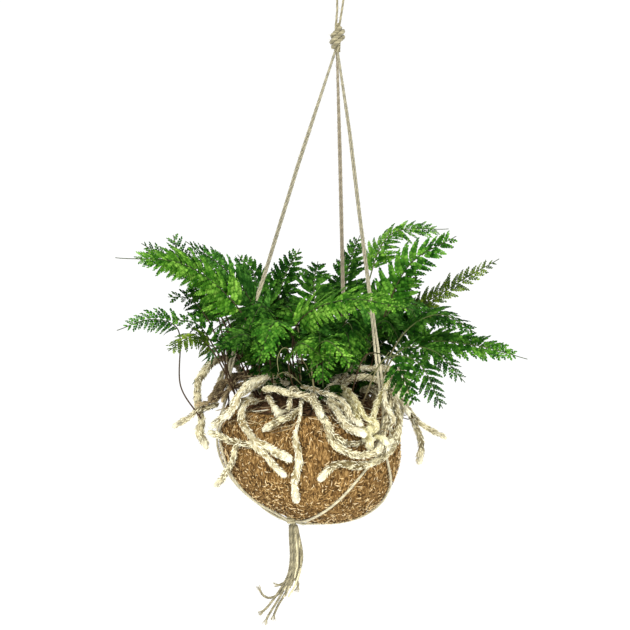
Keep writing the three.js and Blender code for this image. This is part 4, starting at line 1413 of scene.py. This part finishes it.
# One leaflet, a metre long along +Y: a closed blade with a raised midrib
def leafMesh(wide):
    work = bmesh.new()
    inner = work.verts.layers.float.new("inner")    # 1 in the middle of a leaflet, less at its edge, where the leaf material paints shade
    bmesh.ops.create_cone(work, cap_ends=True, segments=leaflet["sides"], radius1=1, radius2=0, depth=1)
    broad, narrowing = leaflet["widths"]
    for vertex in work.verts:
        x, y, z = vertex.co
        share = (y + 1) / 2
        vertex[inner] = 1 if z > 0 else leaflet["edge"] + leaflet["edge"] * share
        curl = leaflet["curl"] * (share - leaflet["curlFrom"]) ** 2
        across = x * leaflet["fullness"] * wide * (broad - narrowing * share)
        vertex.co = leaflet["ridge"] if z > 0 else (across, share, -curl)
    bmesh.ops.triangulate(work, faces=[face for face in work.faces if len(face.verts) > 3])
    bmesh.ops.recalc_face_normals(work, faces=work.faces)
    return meshFrom(work, "leaflet")


# Where a side twig starts and how it is turned: angles in degrees
def branchMatrix(place, sideways, roll, lift, size):
    turn = Matrix.Rotation(math.radians(-sideways), 4, "Z") @ Matrix.Rotation(math.radians(lift), 4, "X")
    rolled = turn @ Matrix.Rotation(math.radians(roll), 4, "Y")
    return Matrix.Translation(place) @ rolled @ Matrix.Scale(size, 4)


def addMidrib(work, length, radius):
    rib = bmesh.ops.create_cone(work, cap_ends=True, segments=hairSides, radius1=radius,
                                radius2=radius * sprig["ribTaper"], depth=length)
    place = Matrix.Translation((0, length / 2, 0)) @ Matrix.Rotation(-math.pi / 2, 4, "X")
    bmesh.ops.transform(work, matrix=place, verts=rib["verts"])


# The longest made side branch that fits a length, with the scale it needs
def sprigFor(library, length, chance):
    fitting = [size for size in sprig["lengths"] if size <= length * sprig["grown"]]
    if not fitting:
        return library["leaf"], length
    return chance.choice(library[fitting[-1]]), length / fitting[-1]


# A side branch: leaflets on either side of a midrib, shorter towards its tip, and one at its end
def sprigMesh(length, shape, leaf, chance):
    work = bmesh.new()
    work.verts.layers.float.new("inner")
    thin, more = sprig["ribRadius"]
    addMidrib(work, length * sprig["rib"], thin + more * length)
    count = max(sprig["fewest"], round(2 * sprig["leafy"] * length / shape["gap"]))
    first, rise = sprig["rise"]
    for i in range(count + 1):
        share = i / count
        side = 1 if i % 2 else -1
        outline = (1 - share) ** sprig["taper"] * min(1, first + rise * share)
        most = shape["most"] * (1 - sprig["narrowing"] * share**3)
        reach = min(shape["reach"] * length * outline + shape["least"], most)
        sideways = 0        # the last leaflet points ahead
        if i < count:
            stray = chance.uniform(-sprig["sweepStray"], sprig["sweepStray"])
            sideways = side * (shape["angle"] - sprig["closing"] * share + stray)
        place = (0, length * (sprig["from"] + sprig["over"] * share), 0)
        roll = chance.uniform(-sprig["roll"], sprig["roll"])
        addCopy(work, leaf, branchMatrix(place, sideways, roll, chance.uniform(*sprig["lift"]), reach))
    return meshFrom(work, "sprig")


def sprigLibrary(shape):
    leaf = leafMesh(shape["wide"])
    library = {"leaf": leafMesh(shape["wide"] * leaflet["smallShare"])}
    for length in sprig["lengths"]:
        chance = random.Random(f"{shape['wide']} {length}")
        library[length] = [sprigMesh(length, shape, leaf, chance) for _ in range(sprig["kinds"])]
    return library


def frondPoints(points):
    root, *others = points
    x, y = root[:2]
    inMix = (x, y, crownHeight(x, y) - frondShape["rootDepth"])
    return [root if len(root) == 3 else inMix, *others]


# The blade is made flat, with the stalk along +Y, and then bent to the frond's own curve
def flatBlade(shape, length, library, chance):
    work = bmesh.new()
    inner = work.verts.layers.float.new("inner")
    count = 2 * max(shape["fewest"], round(length / shape["spacing"]))
    half = shape["width"] / 2
    first, rise = shape["rise"]
    for i in range(count):
        share = (i + 0.5) / count
        side = 1 if i % 2 else -1
        sweep = shape["sweep"][0] + (shape["sweep"][1] - shape["sweep"][0]) * share
        outline = min(1, first + rise * share) * (1 - share) ** shape["taper"]
        full = shape["widthShare"] * half * outline
        reach = full * chance.uniform(*shape["reachStray"]) + shape["least"]
        mesh, size = sprigFor(library, reach / math.sin(math.radians(sweep)), chance)
        roll = chance.gauss(0, shape["roll"] / 2)
        lift = chance.gauss(0, shape["lift"] / 2)
        place = (0, length * shape["leafyTo"] * share, 0)
        sideways = side * (sweep + chance.uniform(-shape["sweepStray"], shape["sweepStray"]))
        earlier = len(work.verts)
        addCopy(work, mesh, branchMatrix(place, sideways, roll, lift, size))
        # each side branch gets painted light and shade of its own
        lightness = chance.uniform(*shape["lightness"])
        for vertex in itertools.islice(work.verts, earlier, None):
            vertex[inner] *= lightness
    for vertex in work.verts:
        x, y, z = vertex.co
        vertex.co = (x, min(y + shape["arc"] * x * x / half, length), z - shape["droop"] * x * x / half)
    return meshFrom(work, "blade")


# Across the blade at each place. Where the stalk runs nearly along the face it is carried on from
# the place beside it, so the blade does not turn over.
def acrossBlade(forward, face):
    across = np.cross(forward, face)
    firmness = np.linalg.norm(across, axis=1)
    start = int(firmness.argmax())
    sides = unit(across)
    for step in (1, -1):
        for i in range(start + step, len(sides) if step > 0 else -1, step):
            carried = unit(sides[i - step] - forward[i] * sides[i - step].dot(forward[i]))
            own = sides[i] if sides[i].dot(carried) > 0 else -sides[i]
            share = np.interp(firmness[i], frondShape["firm"], (0, 1))
            sides[i] = unit(own * share + carried * (1 - share))
    return sides


def bendBlade(mesh, route, face):
    lengths = distances(route)
    forward = unit(np.gradient(route, axis=0))
    side = acrossBlade(forward, unit(np.array(face, float)))
    up = np.cross(side, forward)
    flat = np.empty(len(mesh.vertices) * 3)
    mesh.vertices.foreach_get("co", flat)
    x, y, z = flat.reshape(-1, 3).T
    across = x[:, None] * unit(readAt(y, lengths, side))
    above = z[:, None] * unit(readAt(y, lengths, up))
    before = np.minimum(y, 0)[:, None] * forward[0]
    mesh.vertices.foreach_set("co", (readAt(y, lengths, route) + across + above + before).ravel())


def makeFrond(name, node, plan, libraries, looks):
    shape = {**frondShape, **plan}
    chance = random.Random(name)
    whole = alongSpline(frondPoints(shape["points"]), np.linspace(0, 1, shape["samples"]))
    blade = whole[round(shape["bare"] * (len(whole) - 1)):]
    mesh = flatBlade(shape, distances(blade)[-1], libraries[shape["leaf"]], chance)
    bendBlade(mesh, blade, shape["face"])
    stalk = tubeMesh(name, [whole], [np.linspace(*shape["stalk"], len(whole))], strandSides, chance)
    stalk.polygons.foreach_set("material_index", [1] * len(stalk.polygons))
    if "left" in name:      # the stalks on the left are dark
        setValues(stalk, "own", np.zeros(len(stalk.vertices)))
    materials = [looks[shape["tone"]], looks["stalk"]]
    showAtBall(name, joined(name, [mesh, stalk]), materials, node, smooth=False)


# Young stalks without a blade, in front of the fronds
youngStalks = {
    "widths": (0.00052, 0.00032),
    "samples": 24,
    "along": 0.26,          # the stretch of a frond's stalk whose colour they have
}
youngStalkPoints = [
    [(1, -58, 73), (-5, -85, 93), (-16, -104, 106), (-25, -116, 111), (-30, -124, 102),
     (-29, -126, 90)],
    [(-7, -58, 67), (-16, -88, 80), (-25, -108, 87), (-31, -116, 85)],
    [(8, -56, 68), (7, -88, 86), (7, -112, 107)],
    [(16, -55, 73), (18, -85, 92), (20, -106, 108)],
    [(51, -50, 71), (64, -80, 87), (75, -100, 105)],
    [(73, -72, 64), (83, -82, 72), (90, -88, 80), (97, -92, 91)],
]


def makeYoungStalks(looks):
    chance = random.Random("young stalks")
    count = youngStalks["samples"]
    routes = [alongSpline(metres(points), np.linspace(0, 1, count)) for points in youngStalkPoints]
    widths = [np.linspace(*youngStalks["widths"], count)] * len(routes)
    mesh = tubeMesh("young_stalks", routes, widths, strandSides, chance)
    setValues(mesh, "own", np.ones(len(mesh.vertices)))
    setValues(mesh, "along", np.full(len(mesh.vertices), youngStalks["along"]))
    showAtBall("young_stalks", mesh, [looks["stalk"]], None)


# Floor and light

studio = {"floorHeight": -1.25, "floorSize": 400, "white": (1, 1, 1, 1), "worldStrength": 1.05}
lights = {
    "key": {"place": (-0.8, -1.75, 0.75), "size": 0.7, "power": 44},
    "fill": {"place": (1.4, -1.6, 0), "size": 1.2, "power": 24},
}
lightAim = Vector((-0.03, 0, -0.4))


def whiteFloor():
    work = bmesh.new()
    bmesh.ops.create_grid(work, x_segments=1, y_segments=1, size=studio["floorSize"])
    bmesh.ops.translate(work, vec=(0, 0, studio["floorHeight"]), verts=work.verts)
    material, _, shader = newMaterial("floor", 1, 0)
    shader.inputs["Base Color"].default_value = studio["white"]
    floor = showMesh("floor", meshFrom(work, "floor"), [material])


def addLight(name, light):
    data = bpy.data.lights.new(name, "AREA")
    data.size = light["size"]
    data.energy = light["power"]
    lamp = bpy.data.objects.new(name, data)
    lamp.location = light["place"]
    lamp.rotation_euler = (lightAim - lamp.location).to_track_quat("-Z", "Y").to_euler()
    bpy.context.scene.collection.objects.link(lamp)


def lightStudio():
    world = bpy.data.worlds.new("studio")
    world.use_nodes = True
    background = world.node_tree.nodes["Background"]
    background.inputs["Color"].default_value = studio["white"]
    background.inputs["Strength"].default_value = studio["worldStrength"]
    bpy.context.scene.world = world
    bpy.context.scene.view_settings.view_transform = "Standard"
    for name, light in lights.items():
        addLight(name, light)


print("camera")
placeCamera()
print("cords")
jute, greyJute, shadedJute = (twineMaterial(name, *colours) for name, colours in juteColours.items())
cordRoutes = makeLegs(greyJute, shadedJute)
makeTails(jute)
makeWisps(jute)
makeLoop(jute)
makeKnot("wound_top_knot", "top_knot", topKnot, jute)
makeKnot("wound_bottom_knot", "bottom_knot", bottomKnot, jute)
print("ball")
makeSkin(coirMaterial())
makeFibres(fibreMaterial())
makeMix(mixMaterial())
print("stems")
stemMaterials = {name: stemMaterial(name, *colours) for name, colours in stemLooks.items()}
laidRoutes = makeStems(cordRoutes, stemMaterials)
makeRootlets(laidRoutes, stemMaterials)
print("fronds")
leafLibraries = {name: sprigLibrary(shape) for name, shape in leafShapes.items()}
leafLooks = {name: leafMaterial(name, *colours) for name, colours in leafTones.items()}
leafLooks["stalk"] = stalkMaterial()
for nodeName, frondPlan in fronds.items():
    makeFrond("leafy_" + nodeName, nodeName, inMetres(frondPlan), leafLibraries, leafLooks)
for frondName, frondPlan in sparseFronds.items():
    makeFrond(frondName, None, inMetres(frondPlan), leafLibraries, leafLooks)
for tier in ("high", "low", "inner"):
    for number in range(crowd[tier]["count"]):
        makeFrond(f"{tier}_frond_{number + 1}", None, crowdFrond(tier, number), leafLibraries, leafLooks)
makeYoungStalks(leafLooks)
print("studio")
whiteFloor()
lightStudio()
